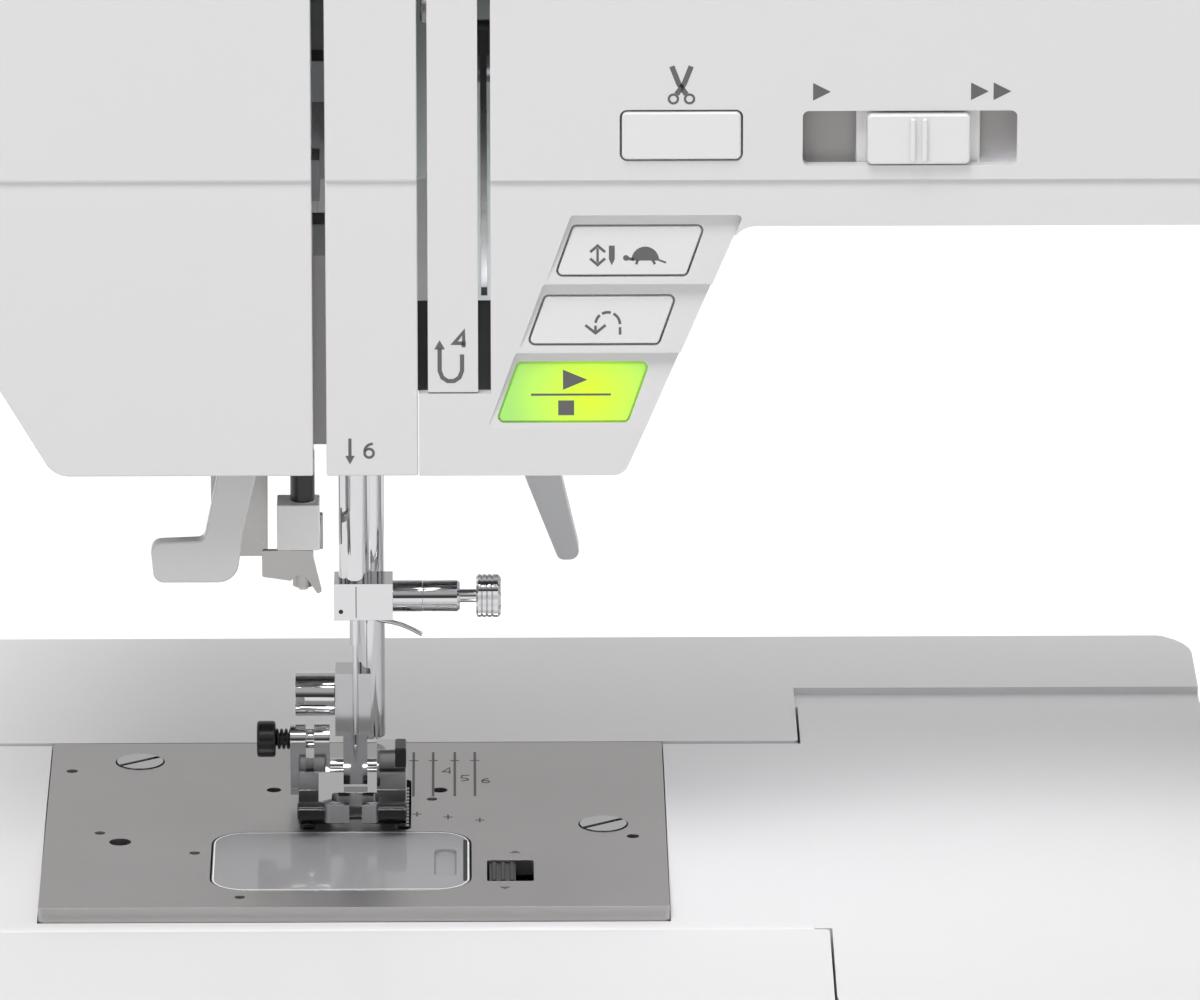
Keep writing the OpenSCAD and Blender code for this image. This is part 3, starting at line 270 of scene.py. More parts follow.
clear_cover = clear("clear_cover_plastic", (0.44, 0.43, 0.44), 0.6)
clear_bobbin = clear("clear_bobbin_plastic", (0.75, 0.78, 0.84), 0.45)
screen_black = plastic("screen_window", (0.012, 0.016, 0.02), 0.08, grain_mm=0.0, sheen=0.6)
lamp_glow = lamp_material("lamp_diffuser", (0.88, 0.92, 1.0), 9.0)
rubber_black = plastic("foot_rubber", (0.02, 0.02, 0.02), 0.75, grain_mm=0.02, grain_scale=900)
circuit_green = plastic("solder_resist_green", (0.01, 0.09, 0.03), 0.35, tint=0.5)
ink_grey = plastic("printed_grey_ink", (0.13, 0.125, 0.125), 0.5, tint=0.1)
etched_dark = plastic("etched_plate_mark", (0.10, 0.095, 0.09), 0.45, tint=0.15)
screen_lines = lamp_material("screen_lines", (0.55, 0.75, 0.85), 0.9)
shadow_line = plastic("shadow_in_a_gap", (0.03, 0.03, 0.032), 0.6, tint=0.2)
# A mid grey whose darkness is painted shade: it stands for the shaded floor of the slider's channel and of a
# threading slot.
painted_shade_grey = plastic("slider_channel_painted_shade", (0.40, 0.385, 0.375), 0.5)
# A near-white line for the clear cover's rim: a painted highlight where the edge catches light.
rim_painted_highlight = plastic("clear_rim_painted_highlight", (0.92, 0.93, 0.94), 0.12, grain_mm=0.001)


def lit_green():
    material, tree, shader = new_material("lit_green_button")
    place = add(tree, "ShaderNodeTexCoord")
    mapping = add(tree, "ShaderNodeMapping")
    mapping.inputs["Location"].default_value = -at(44.5, FRONT_Y, 95.2)
    tree.links.new(place.outputs["Object"], mapping.inputs["Vector"])
    length = add(tree, "ShaderNodeVectorMath", operation="LENGTH")
    tree.links.new(mapping.outputs["Vector"], length.inputs[0])
    far = add(tree, "ShaderNodeMapRange")
    far.inputs["From Max"].default_value = 15 * MM
    tree.links.new(length.outputs["Value"], far.inputs["Value"])
    colour = ramp(tree, far.outputs["Result"],
                  [(0.05, (0.56, 0.80, 0.02)), (0.5, (0.46, 0.76, 0.07)), (1.0, (0.30, 0.60, 0.13))])
    tree.links.new(colour, shader.inputs["Base Color"])
    tree.links.new(colour, shader.inputs["Emission Color"])
    shader.inputs["Emission Strength"].default_value = 0.42
    shader.inputs["Roughness"].default_value = 0.3
    return material


green_lit = lit_green()
print("clear and lit finishes made")

# %% [markdown]
# ## From CAD solid to finished piece
# A machined or moulded piece never has a knife edge. `finish` copies a CAD node's mesh, merges
# its loose triangles, dissolves flat regions, and rounds every edge sharper than 30 degrees.
# Normals are then weighted by face area, so flat faces stay flat and only the edges catch light.

# %% Finishing a CAD piece
def body_of(node):
    return nodes[node]["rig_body"]


def merged_mesh(node):
    """A copy of a CAD node's mesh with its doubles merged and its flat faces whole"""
    bm = bmesh.new()
    bm.from_mesh(nodes[node].data)
    bmesh.ops.remove_doubles(bm, verts=bm.verts, dist=2e-6)
    bmesh.ops.dissolve_limit(bm, angle_limit=math.radians(0.6), verts=bm.verts, edges=bm.edges)
    return bm


def new_piece(name, mesh, material, body):
    """A piece at the origin that rides on a body"""
    piece = bpy.data.objects.new(name, mesh)
    bpy.context.scene.collection.objects.link(piece)
    if not mesh.materials:
        mesh.materials.append(material)
    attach(piece, body)
    return piece


def applied(piece, modifier):
    """Gives the piece the mesh that its one modifier makes"""
    bpy.context.view_layer.update()
    evaluated = piece.evaluated_get(bpy.context.evaluated_depsgraph_get())
    mesh = bpy.data.meshes.new_from_object(evaluated)
    piece.modifiers.remove(modifier)
    piece.data = mesh


SHARP_EDGE = math.radians(30)
SHADED_APART = math.radians(50)


def rounded(piece, width_mm, segments=3):
    """Rounds the sharp edges of a piece, then lets the largest face at each corner set its normal"""
    bevel = piece.modifiers.new("edges", "BEVEL")
    bevel.width = width_mm * MM
    bevel.segments = segments
    bevel.limit_method = "ANGLE"
    bevel.angle_limit = SHARP_EDGE
    bevel.use_clamp_overlap = True
    bevel.miter_outer = "MITER_ARC"
    for polygon in piece.data.polygons:
        polygon.use_smooth = True
    applied(piece, bevel)
    piece.data.set_sharp_from_angle(angle=SHADED_APART)
    weighted = piece.modifiers.new("normals", "WEIGHTED_NORMAL")
    weighted.weight = 100
    weighted.keep_sharp = True
    applied(piece, weighted)
    return piece


def finish(node, material, width_mm):
    """The finished piece that stands for a CAD node"""
    bm = merged_mesh(node)
    mesh = bpy.data.meshes.new(node + "_finished")
    bm.to_mesh(mesh)
    bm.free()
    mesh.materials.append(material)
    piece = new_piece(node + "_finished", mesh, material, body_of(node))
    rounded(piece, width_mm)
    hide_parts(node)
    return piece


finishes = {
    "front_cover": (shell_white, 0.7), "rear_cover": (shell_white, 1.2),
    "face_cover": (shell_white, 0.9), "bed_cover": (shell_white, 1.2),
    "free_arm_cover": (shell_white, 0.6), "thread_tongue": (shell_white, 0.6),
    "extension_table": (shell_white, 0.8), "top_lid": (shell_white, 0.8),
    "carry_handle": (lever_grey, 2.0), "base_plate": (base_grey, 0.8),
    "rubber_feet": (rubber_black, 0.8), "needle_plate": (ground_steel, 0.4),
    "plate_screws": (chrome, 0.15), "display_bezel": (trim_grey, 0.4),
    "display_glass": (screen_black, 0.2), "head_lamp": (lamp_glow, 0.5), "arm_lamp": (lamp_glow, 0.3),
    "tension_unit": (sheet_steel, 0.3), "spool_tray": (parts_white, 0.5),
    "drive_motor": (black_plastic, 1.0), "belts": (rubber_black, 0.2),
    "circuit_boards": (circuit_green, 0.2), "stepper_motors": (sheet_steel, 0.8),
    "rear_sockets": (black_plastic, 0.3), "bobbin_case": (black_plastic, 0.3),
    "handwheel": (parts_white, 0.7), "upper_shaft": (turned_steel, 0.4),
    "lower_shaft": (turned_steel, 0.4), "rotary_hook": (chrome, 0.4),
    "motor_pulley": (turned_steel, 0.3), "needle_bar_frame": (cast_metal, 0.8),
    "machine_frame": (cast_metal, 0.8), "needle_bar": (chrome, 0.4), "needle_clamp": (chrome, 0.35),
    "needle": (chrome, 0.05), "clamp_screw": (chrome, 0.3), "take_up_lever": (lever_steel_painted_shade, 0.25),
    "presser_bar": (chrome, 0.5), "foot_holder": (chrome, 0.35), "holder_screw": (chrome, 0.3),
    "presser_foot": (chrome, 0.3), "leveling_button": (black_plastic, 0.5),
    "foot_lifter": (lever_grey, 1.0), "threader_lever": (threader_white, 0.8),
    "threader_carrier": (parts_white, 0.5), "threader_hook": (sheet_steel, 0.15),
    "buttonhole_lever": (sheet_steel, 0.2), "start_stop_button": (green_lit, 0.3),
    "reverse_button": (parts_white, 0.3), "needle_button": (parts_white, 0.3),
    "cutter_button": (parts_white, 0.5), "speed_slider": (parts_white, 0.5),
    "tension_dial": (parts_white, 0.4), "bobbin_winder": (parts_white, 0.5),
    "power_switch": (black_plastic, 0.4), "bobbin_cover": (clear_cover, 0.3),
    "bobbin_latch": (black_plastic, 0.15), "bobbin": (clear_bobbin, 0.2),
    "feed_carriage": (turned_steel, 0.3), "feed_dog": (turned_steel, 0.1),
}
pieces = {}
for node, (material, width) in finishes.items():
    pieces[node] = finish(node, material, width)
print("finished pieces:", len(pieces))

# %% [markdown]
# ## Printed marks
# The symbols on the covers are ink: strips a few hundredths of a millimetre high. Each point of
# a drawing is dropped onto the surface of its node, so the ink follows sloping faces.
# A drawing is a list of lines (path, width, closed) and filled patches (outline, None, True).

# %% Ink helpers
def add_prism(bm, tops, bottoms):
    """A closed prism between two rings of points"""
    upper = [bm.verts.new(point) for point in tops]
    lower = [bm.verts.new(point) for point in bottoms]
    bm.faces.new(upper)
    bm.faces.new(lower[::-1])
    for i in range(len(upper)):
        j = (i + 1) % len(upper)
        bm.faces.new((upper[j], upper[i], lower[i], lower[j]))


def sides_of(path, width, closed):
    """The points to the left and to the right of a path, half a width away"""
    left, right = [], []
    for i, here in enumerate(path):
        before = path[i - 1] if i or closed else here
        after = path[(i + 1) % len(path)] if i + 1 < len(path) or closed else here
        a = Vector(here) - Vector(before)
        b = Vector(after) - Vector(here)
        a = a.normalized() if a.length > 1e-9 else b.normalized()
        b = b.normalized() if b.length > 1e-9 else a
        across = Vector((-(a + b).y, (a + b).x)).normalized()
        reach = width / 2 / max(across.dot(Vector((-a.y, a.x))), 0.5)
        left.append(Vector(here) + across * reach)
        right.append(Vector(here) - across * reach)
    return left, right


def add_ink(bm, drop, path, width, closed):
    """One line or patch of ink, between 0.05 mm below the surface and 0.03 mm above it"""
    if width is None:
        add_prism(bm, [drop(p, 0.03) for p in path], [drop(p, -0.05) for p in path])
        return
    left, right = sides_of([Vector(p) for p in path], width, closed)
    count = len(path)
    rings = [[bm.verts.new(drop(l, 0.03)), bm.verts.new(drop(r, 0.03)),
              bm.verts.new(drop(r, -0.05)), bm.verts.new(drop(l, -0.05))] for l, r in zip(left, right)]
    for i in range(count if closed else count - 1):
        a, b = rings[i], rings[(i + 1) % count]
        for k in range(4):
            bm.faces.new((a[k], a[(k + 1) % 4], b[(k + 1) % 4], b[k]))
    if not closed:
        bm.faces.new(rings[0][::-1])
        bm.faces.new(rings[-1])


def piece_from(bm, name, material, body):
    """A piece made of a bmesh, with its faces turned outward"""
    bmesh.ops.recalc_face_normals(bm, faces=bm.faces)
    mesh = bpy.data.meshes.new(name)
    bm.to_mesh(mesh)
    bm.free()
    mesh.materials.append(material)
    return new_piece(name, mesh, material, body)


def ink(name, node, drawings, material, side="front"):
    """Ink on the front (x, z) or on the top (x, y) of a node, in millimetres from the needle"""
    bm = merged_mesh(node)
    surface = BVHTree.FromBMesh(bm)
    bm.free()
    inward = Vector((0, 1, 0)) if side == "front" else Vector((0, 0, -1))

    def drop(point, height):
        start = at(point[0], -200, point[1]) if side == "front" else at(point[0], point[1], 60)
        place = surface.ray_cast(start, inward)[0]
        if place is None:
            raise ValueError(f"{name}: {tuple(point)} is off {node}")
        return place - inward * height * MM

    made = bmesh.new()
    for path, width, closed in drawings:
        add_ink(made, drop, path, width, closed)
    return piece_from(made, name, material, body_of(node))


def arc(x, y, r, start, end, steps=14):
    """Points on an arc, angles in degrees"""
    turns = [math.radians(start + (end - start) * i / steps) for i in range(steps + 1)]
    return [(x + r * math.cos(t), y + r * math.sin(t)) for t in turns]


def ring(x, y, r, width):
    return (arc(x, y, r, 0, 360 - 360 / 20, 19), width, True)


def patch(*points):
    return (list(points), None, True)


def line(width, *points):
    return (list(points), width, False)


print("ink helpers ready")

# %% [markdown]
# All symbols are drawn here from plain geometry: scissors, needle up and down, slow, reverse,
# start and stop, slow and fast, and the numbered arrows of the thread path.

# %% Symbols on the head
scissors = [line(1.0, (59.9, 159.0), (61.2, 155.6), (62.6, 153.6)),
            line(1.0, (63.5, 159.0), (62.2, 155.6), (60.8, 153.6)),
            ring(60.2, 152.7, 0.85, 0.45), ring(63.2, 152.7, 0.85, 0.45)]
ink("scissors_symbol", "front_cover", scissors, ink_grey)

slow_fast = [patch((86.2, 152.3), (89.5, 154.0), (86.2, 155.7)),
             patch((115.6, 152.3), (118.9, 154.0), (115.6, 155.7)),
             patch((119.8, 152.3), (123.1, 154.0), (119.8, 155.7))]
ink("speed_symbols", "front_cover", slow_fast, ink_grey)

needle_up_down = [line(0.45, (46.1, 121.0), (46.1, 123.6)),
                  line(0.5, (44.7, 122.9), (46.1, 124.1), (47.5, 122.9)),
                  line(0.5, (44.7, 121.7), (46.1, 120.5), (47.5, 121.7)),
                  patch((48.2, 121.6), (48.75, 120.4), (49.3, 121.6), (49.3, 124.1), (48.2, 124.1))]
shell = [(57.6, 121.3)] + arc(55.0, 121.3, 2.6, 12, 168, 12) + [(52.4, 121.3)]
slow_walker = [(shell, None, True), line(0.55, (51.6, 121.7), (52.9, 121.5)),
               patch(*arc(51.4, 121.8, 0.55, 0, 324, 9)),
               line(0.5, (53.6, 121.4), (53.3, 120.6)), line(0.5, (56.4, 121.4), (56.8, 120.6)),
               line(0.35, (57.5, 121.4), (58.9, 120.9))]
ink("needle_symbols", "needle_button", needle_up_down + slow_walker, ink_grey)

reverse = [(arc(48.0, 108.8, 2.3, 62, 2, 6), 0.5, False), (arc(48.0, 108.8, 2.3, 118, 76, 5), 0.5, False),
           (arc(48.0, 108.8, 2.3, 172, 130, 5), 0.5, False), line(0.5, (50.3, 108.3), (50.3, 106.9)),
           line(0.5, (45.7, 108.6), (45.7, 107.6)), line(0.5, (43.8, 108.7), (45.7, 107.2), (47.6, 108.7))]
ink("reverse_symbol", "reverse_button", reverse, ink_grey)

start_stop = [patch((39.6, 96.0), (44.2, 97.9), (39.6, 99.8)), line(0.4, (33.6, 95.1), (48.6, 95.1)),
              patch((38.7, 91.2), (41.7, 91.2), (41.7, 94.0), (38.7, 94.0))]
ink("start_stop_symbols", "start_stop_button", start_stop, ink_grey)

four = [line(0.75, (21.4, 105.4), (19.2, 105.4), (21.0, 107.6), (21.0, 104.6))]
thread_up = [line(0.8, (16.5, 104.4), (16.5, 100.0), (17.0, 98.7), (18.0, 98.0),
                  (19.2, 98.0), (20.2, 98.7), (20.7, 100.0), (20.7, 103.2)),
             patch((15.5, 104.2), (17.5, 104.2), (16.5, 106.0))]
ink("thread_up_symbol", "thread_tongue", thread_up + four, ink_grey)

thread_down = [line(0.6, (-0.4, 86.8), (-0.4, 83.0)), patch((-1.3, 83.4), (-0.4, 81.7), (0.5, 83.4))]
six = [ring(3.2, 83.9, 0.85, 0.5), (arc(3.9, 84.2, 1.55, 178, 90, 6), 0.5, False)]
ink("thread_down_symbol", "face_cover", thread_down + six, ink_grey)
print("symbols printed on the head")

# %% [markdown]
# The needle plate carries seam guide lines, numbered in steps, with small cross marks.

# %% Marks on the needle plate
guides = [line(0.5, (x, 12.9), (x, 39.6)) for x in (11.0, 14.8, 19.0, 22.9)]
guides += [line(0.35, (x - 0.9, 34.5), (x + 0.9, 34.5)) for x in (11.0, 14.8, 19.0, 22.9)]


def cross(x, y, reach=0.9, width=0.35):
    return [line(width, (x - reach, y), (x + reach, y)),
            line(width, (x, y - 1.5 * reach), (x, y + 1.5 * reach))]


digits = [line(0.35, (18.2, 27.6), (16.6, 27.6), (18.0, 30.2), (18.0, 26.6)),
          line(0.35, (21.8, 25.4), (20.4, 25.4), (20.3, 23.8), (21.4, 23.6), (21.6, 22.6), (20.2, 22.0)),
          ring(25.0, 21.6, 0.7, 0.35), (arc(25.8, 22.0, 1.5, 178, 100, 6), 0.35, False)]
plate_marks = guides + cross(11.7, 2.2) + cross(17.7, 0.4) + cross(23.8, -1.5)
ink("plate_guides", "needle_plate", plate_marks + digits, etched_dark, "top")
arrows = [patch((29.4, -21.0), (31.6, -21.0), (30.5, -19.6)),
          patch((27.4, -40.6), (29.6, -40.6), (28.5, -42.0))]
ink("latch_arrows", "needle_plate", arrows, etched_dark, "top")
print("marks etched on the plate")

# %% [markdown]
# The display shows a plain picture of three stitches, drawn as light lines on the dark window.

# %% Picture on the display
window_low, window_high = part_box("display_glass")
mid_x = ((window_low.x + window_high.x) / 2 - NEEDLE.x) / MM
mid_z = ((window_low.z + window_high.z) / 2 - NEEDLE.z) / MM
zigzag = [(mid_x - 30 + 5 * i, mid_z + 13 + (3.5 if i % 2 else -3.5)) for i in range(13)]
dashes = [line(1.0, (mid_x - 30 + 9 * i, mid_z), (mid_x - 24.5 + 9 * i, mid_z)) for i in range(7)]
waves = [(mid_x - 30 + i, mid_z - 13 + 3 * math.sin(i * 0.6)) for i in range(61)]
picture = [(zigzag, 0.9, False), (waves, 0.9, False)] + dashes
ink("display_picture", "display_glass", picture, screen_lines)
print("display drawn at", round(mid_x, 1), round(mid_z, 1))

# %% [markdown]
# ## Turned pieces
# A lathe makes these in a workshop, and `turned` does it here: a list of (place along the axis,
# radius) is swept around X, Y or Z. Where the radius is over `grip_from` the surface has lobes.

# %% The lathe
NO_GRIP = 99.0
GRIP_LOBES = 4
GRIP_DEPTH = 0.2


def turned(name, node, profile, centre, axis, material, grip_from=NO_GRIP, steps=96):
    """A turned piece on an axis through centre, with finger dips wherever its radius is past grip_from"""
    along = Vector([(1, 0, 0), (0, 1, 0), (0, 0, 1)][axis])
    u = Vector([(0, 1, 0), (0, 0, 1), (1, 0, 0)][axis])
    v = along.cross(u)
    bm = bmesh.new()
    rings = []
    for place, radius in profile:
        points = []
        for i in range(steps):
            angle = 2 * math.pi * i / steps
            dip = GRIP_DEPTH * (0.5 + 0.5 * math.cos(GRIP_LOBES * angle)) if radius > grip_from else 0
            r = radius * (1 - dip)
            outwards = u * math.cos(angle) + v * math.sin(angle)
            points.append(bm.verts.new(at(*(Vector(centre) + along * place + outwards * r))))
        rings.append(points)
    for a, b in zip(rings, rings[1:]):
        for i in range(steps):
            k = (i + 1) % steps
            bm.faces.new((a[i], a[k], b[k], b[i]))
    bm.faces.new(rings[0][::-1])
    bm.faces.new(rings[-1])
    return smooth(piece_from(bm, name, material, body_of(node)))


SMOOTH_BELOW = math.radians(35)


def smooth(piece):
    for polygon in piece.data.polygons:
        polygon.use_smooth = True
    piece.data.set_sharp_from_angle(angle=SMOOTH_BELOW)
    return piece


def stands_for(node):
    """The piece takes the place of a node's plain finished piece"""
    bpy.data.objects.remove(pieces.pop(node))
    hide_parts(node)


def middle(node, axis):
    """Middle of a node along an axis, in millimetres from the needle"""
    low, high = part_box(node)
    return ((low + high) / 2 - NEEDLE)[axis] / MM


clamp_z = middle("clamp_screw", 2)
thumb_screw = [(4.2, 1.45), (13.0, 1.5), (13.05, 2.95), (19.6, 3.0), (20.1, 2.6), (20.15, 1.25), (23.2, 1.25),
               (23.25, 3.9), (23.6, 4.4), (24.1, 4.4), (24.3, 4.15), (24.5, 4.4), (25.1, 4.4), (25.3, 4.15),
               (25.5, 4.4), (26.1, 4.4), (26.3, 4.15), (26.5, 4.4), (27.4, 4.4), (27.9, 3.9), (28.0, 3.2)]
screw = turned("clamp_screw_turned", "clamp_screw", thumb_screw, (0, 0, clamp_z), 0, chrome, 3.5)
stands_for("clamp_screw")
sleeve = [(67.9, 1.9), (67.95, 2.32), (77.9, 2.32), (78.0, 1.9)]
rod_y = middle("threader_carrier", 1)
turned("threader_sleeve", "threader_carrier", sleeve, (-9.65, rod_y, 0), 2, black_plastic)
print("turned pieces made")

# %% [markdown]
# ## Small parts around the needle
# Boxes with rounded edges, bent wires and a spring. `block` takes two opposite corners, and
# `wire` sweeps a round section along a path.

# %% Blocks and wires
def block(name, node, low, high, material, edge_mm=0.3, segments=3):
    bm = bmesh.new()
    (x0, y0, z0), (x1, y1, z1) = low, high
    ring_low = [at(x0, y0, z0), at(x1, y0, z0), at(x1, y1, z0), at(x0, y1, z0)]
    ring_high = [at(x0, y0, z1), at(x1, y0, z1), at(x1, y1, z1), at(x0, y1, z1)]
    add_prism(bm, ring_high, ring_low)
    piece = piece_from(bm, name, material, body_of(node))
    return rounded(piece, edge_mm, segments)


def wire(name, node, path, radius, material, around=12):
    """A bent wire along a path in millimetres from the needle"""
    bm = bmesh.new()
    points = [Vector(p) for p in path]
    rings = []
    side = None
    for i, here in enumerate(points):
        tangent = (points[min(i + 1, len(points) - 1)] - points[max(i - 1, 0)]).normalized()
        if side is None:
            side = tangent.orthogonal().normalized()
        side = (side - tangent * side.dot(tangent)).normalized()
        other = tangent.cross(side)
        turns = [2 * math.pi * k / around for k in range(around)]
        around_here = [here + (side * math.cos(t) + other * math.sin(t)) * radius for t in turns]
        rings.append([bm.verts.new(at(*point)) for point in around_here])
    for a, b in zip(rings, rings[1:]):
        for k in range(around):
            n = (k + 1) % around
            bm.faces.new((a[k], a[n], b[n], b[k]))
    bm.faces.new(rings[0][::-1])
    bm.faces.new(rings[-1])
    return smooth(piece_from(bm, name, material, body_of(node)))


# %% Needle clamp, threader and foot details
# The clamp's split and a small hole are drawn as dark ink of painted shade.
ink("clamp_split_shade", "needle_clamp", [line(0.16, (0.3, clamp_z - 3.1), (0.3, clamp_z + 3.1)),
                                    patch(*arc(-2.6, clamp_z - 1.9, 0.45, 0, 330, 11))], shadow_line)
guide = [(3.4, -2.6, 41.4), (5.0, -2.9, 40.9), (7.0, -3.3, 40.7),
         (9.0, -3.8, 40.3), (11.0, -4.2, 39.5), (12.9, -4.6, 38.6)]
wire("needle_thread_guide", "needle_clamp", guide, 0.42, chrome)
block("threader_stop", "threader_carrier", (-7.3, -1.2, 54.6), (-5.95, 0.4, 61.6), sheet_steel, 0.2)
block("threader_stop_arm", "threader_carrier", (-8.6, -11.8, 58.9), (-6.3, 0.2, 60.4), sheet_steel, 0.2)

level_z, level_y = middle("leveling_button", 2), middle("leveling_button", 1)
coil_r = 1.75
coil = [(-15.3 + 3.1 * i / 72, level_y + coil_r * math.cos(i * math.pi / 10),
         level_z + coil_r * math.sin(i * math.pi / 10)) for i in range(73)]
spring = wire("leveling_spring", "presser_foot", coil, 0.28, black_plastic, around=8)
at(-12.2, level_y, level_z)
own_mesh(spring)

for name, x0, x1 in (("left_toe_tip", -11.1, -5.8), ("right_toe_tip", 4.2, 9.8)):
    tip = [(-13.1, 4.6), (-12.6, 6.5), (-11.4, 6.9), (-9.6, 6.6),
           (-6.2, 4.7), (-6.2, 2.4), (-11.2, 3.4), (-12.6, 4.0)]
    made = bmesh.new()
    add_prism(made, [at(x1, y, z) for y, z in tip], [at(x0, y, z) for y, z in tip])
    rounded(piece_from(made, name, black_plastic, body_of("presser_foot")), 0.35)
block("foot_bracket_end", "presser_foot", (7.5, 4.3, 8.6), (9.68, 10.6, 12.6), black_plastic, 0.35)
print("small parts made")

# %% [markdown]
# ## Behind the threading slots
# The slots in the head show a shaded inner wall, not the white of the far side, so thin dark panels of
# painted shade stand a few millimetres behind their lower ends.

# %% Slot backing
block("slot_shade_panel_left", "front_cover", (-8.6, -28.6, 84.0), (-3.6, -28.0, 121.0), painted_shade_grey, 0.1)
block("slot_shade_panel_middle", "front_cover", (11.6, -28.6, 94.5), (15.2, -28.0, 112.0), shadow_line, 0.1)
block("slot_shade_panel_right", "front_cover", (22.8, -28.6, 94.5), (27.0, -28.0, 112.0), shadow_line, 0.1)
print("slots backed")

# %% [markdown]
# ## Slider and bobbin cover
# The speed knob has two ribs to push against, and the channel behind it is closed by a grey strip whose
# darkness is painted shade. A thin near-white line along the clear cover's rim is a painted highlight, and
# its finger slot is a dark strip of painted shade.

# %% Slider and cover details
knob_x, knob_z = middle("speed_slider", 0), middle("speed_slider", 2)
for side, offset in (("left", -1.1), ("right", 1.1)):
    rib_x = knob_x + offset
    block(f"slider_rib_{side}", "speed_slider", (rib_x - 0.55, FRONT_Y - 2.1, knob_z - 4.2),
          (rib_x + 0.55, FRONT_Y - 0.9, knob_z + 4.2), parts_white, 0.4)
# The strip that closes the slider's channel is a real part; its dark grey is painted shade.
block("slider_channel", "front_cover", (81.5, FRONT_Y + 4.7, 138.2),
      (127, FRONT_Y + 5.5, 152), painted_shade_grey, 0.2)

low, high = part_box("bobbin_cover")
x0, y0 = ((low - NEEDLE) / MM).xy
x1, y1 = ((high - NEEDLE) / MM).xy
corner = 6.4
# The rim is drawn as a thin near-white line of painted highlight.
rim = []
for cx, cy, start in ((x1 - corner, y1 - corner, 0), (x0 + corner, y1 - corner, 90),
                      (x0 + corner, y0 + corner, 180), (x1 - corner, y0 + corner, 270)):
    rim += arc(cx, cy, corner - 0.35, start, start + 90, 8)
ink("bobbin_cover_rim_highlight", "bobbin_cover", [(rim, 0.22, True)], rim_painted_highlight, "top")
# The finger slot at the cover's edge is a dark strip of painted shade.
edge = line(0.8, (x1 - 0.9, y0 + 5), (x1 - 0.9, y1 - 5))
ink("bobbin_cover_finger_slot_shade", "bobbin_cover", [edge], shadow_line, "top")
print("slider and cover done")

# %% [markdown]
# ## Repeated shapes with Geometry Nodes
# One rib or tooth is modelled, and a node tree sets out the rest: on a ring for the handwheel's
# grip, in a row for the teeth of the feed dog. The tree's inputs are named, so the same tree
# serves every ring. Its last two nodes make the copies real and give them their material.

# %% The node trees
def repeat_tree(name, on_ring):
    tree = bpy.data.node_groups.new(name, "GeometryNodeTree")
    sockets = tree.interface
    sockets.new_socket("Geometry", in_out="INPUT", socket_type="NodeSocketGeometry")
    sockets.new_socket("Count", in_out="INPUT", socket_type="NodeSocketInt")
    sockets.new_socket("Size", in_out="INPUT", socket_type="NodeSocketFloat")
    sockets.new_socket("Material", in_out="INPUT", socket_type="NodeSocketMaterial")
    sockets.new_socket("Geometry", in_out="OUTPUT", socket_type="NodeSocketGeometry")
    source = tree.nodes.new("NodeGroupInput")
    result = tree.nodes.new("NodeGroupOutput")
    copies = tree.nodes.new("GeometryNodeInstanceOnPoints")
    real = tree.nodes.new("GeometryNodeRealizeInstances")
    paint = tree.nodes.new("GeometryNodeSetMaterial")
    if on_ring:
        places = tree.nodes.new("GeometryNodeMeshCircle")
        tree.links.new(source.outputs["Count"], places.inputs["Vertices"])
        tree.links.new(source.outputs["Size"], places.inputs["Radius"])
        where = tree.nodes.new("GeometryNodeInputPosition")
        turn = tree.nodes.new("FunctionNodeAlignRotationToVector")
        turn.axis = "X"
        tree.links.new(where.outputs["Position"], turn.inputs["Vector"])
        tree.links.new(turn.outputs["Rotation"], copies.inputs["Rotation"])
    else:
        places = tree.nodes.new("GeometryNodeMeshLine")
        step = tree.nodes.new("ShaderNodeCombineXYZ")
        tree.links.new(source.outputs["Count"], places.inputs["Count"])
        tree.links.new(source.outputs["Size"], step.inputs["Y"])
        tree.links.new(step.outputs["Vector"], places.inputs["Offset"])
    tree.links.new(places.outputs["Mesh"], copies.inputs["Points"])
    tree.links.new(source.outputs["Geometry"], copies.inputs["Instance"])
    tree.links.new(copies.outputs["Instances"], real.inputs["Geometry"])
    tree.links.new(real.outputs["Geometry"], paint.inputs["Geometry"])
    tree.links.new(source.outputs["Material"], paint.inputs["Material"])
    tree.links.new(paint.outputs["Geometry"], result.inputs["Geometry"])
    return tree


def repeated(name, tree, one, count, size, material, body, place):
    """Copies of the mesh `one`, laid out by the tree, then moved to their place"""
    piece = bpy.data.objects.new(name, one)
    bpy.context.scene.collection.objects.link(piece)
    modifier = piece.modifiers.new("repeat", "NODES")
    modifier.node_group = tree
    ids = {item.name: item.identifier for item in tree.interface.items_tree if item.in_out == "INPUT"}
    modifier[ids["Count"]] = count
    modifier[ids["Size"]] = size
    modifier[ids["Material"]] = material
    applied(piece, modifier)
    piece.data.transform(place)
    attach(piece, body)
    return smooth(piece)


def small_block(name, size, taper):
    """A block in metres at the origin whose top is narrower by taper"""
    bm = bmesh.new()
    dx, dy, dz = (v * MM / 2 for v in size)
    corners = ((-dx, -dy), (dx, -dy), (dx, dy), (-dx, dy))
    top = [Vector((x * taper, y * taper, dz)) for x, y in corners]
    bottom = [Vector((x, y, -dz)) for x, y in corners]
    add_prism(bm, top, bottom)
    bmesh.ops.recalc_face_normals(bm, faces=bm.faces)
    mesh = bpy.data.meshes.new(name)
    bm.to_mesh(mesh)
    bm.free()
    return mesh


ring_tree = repeat_tree("set_on_a_ring", True)
row_tree = repeat_tree("set_in_a_row", False)

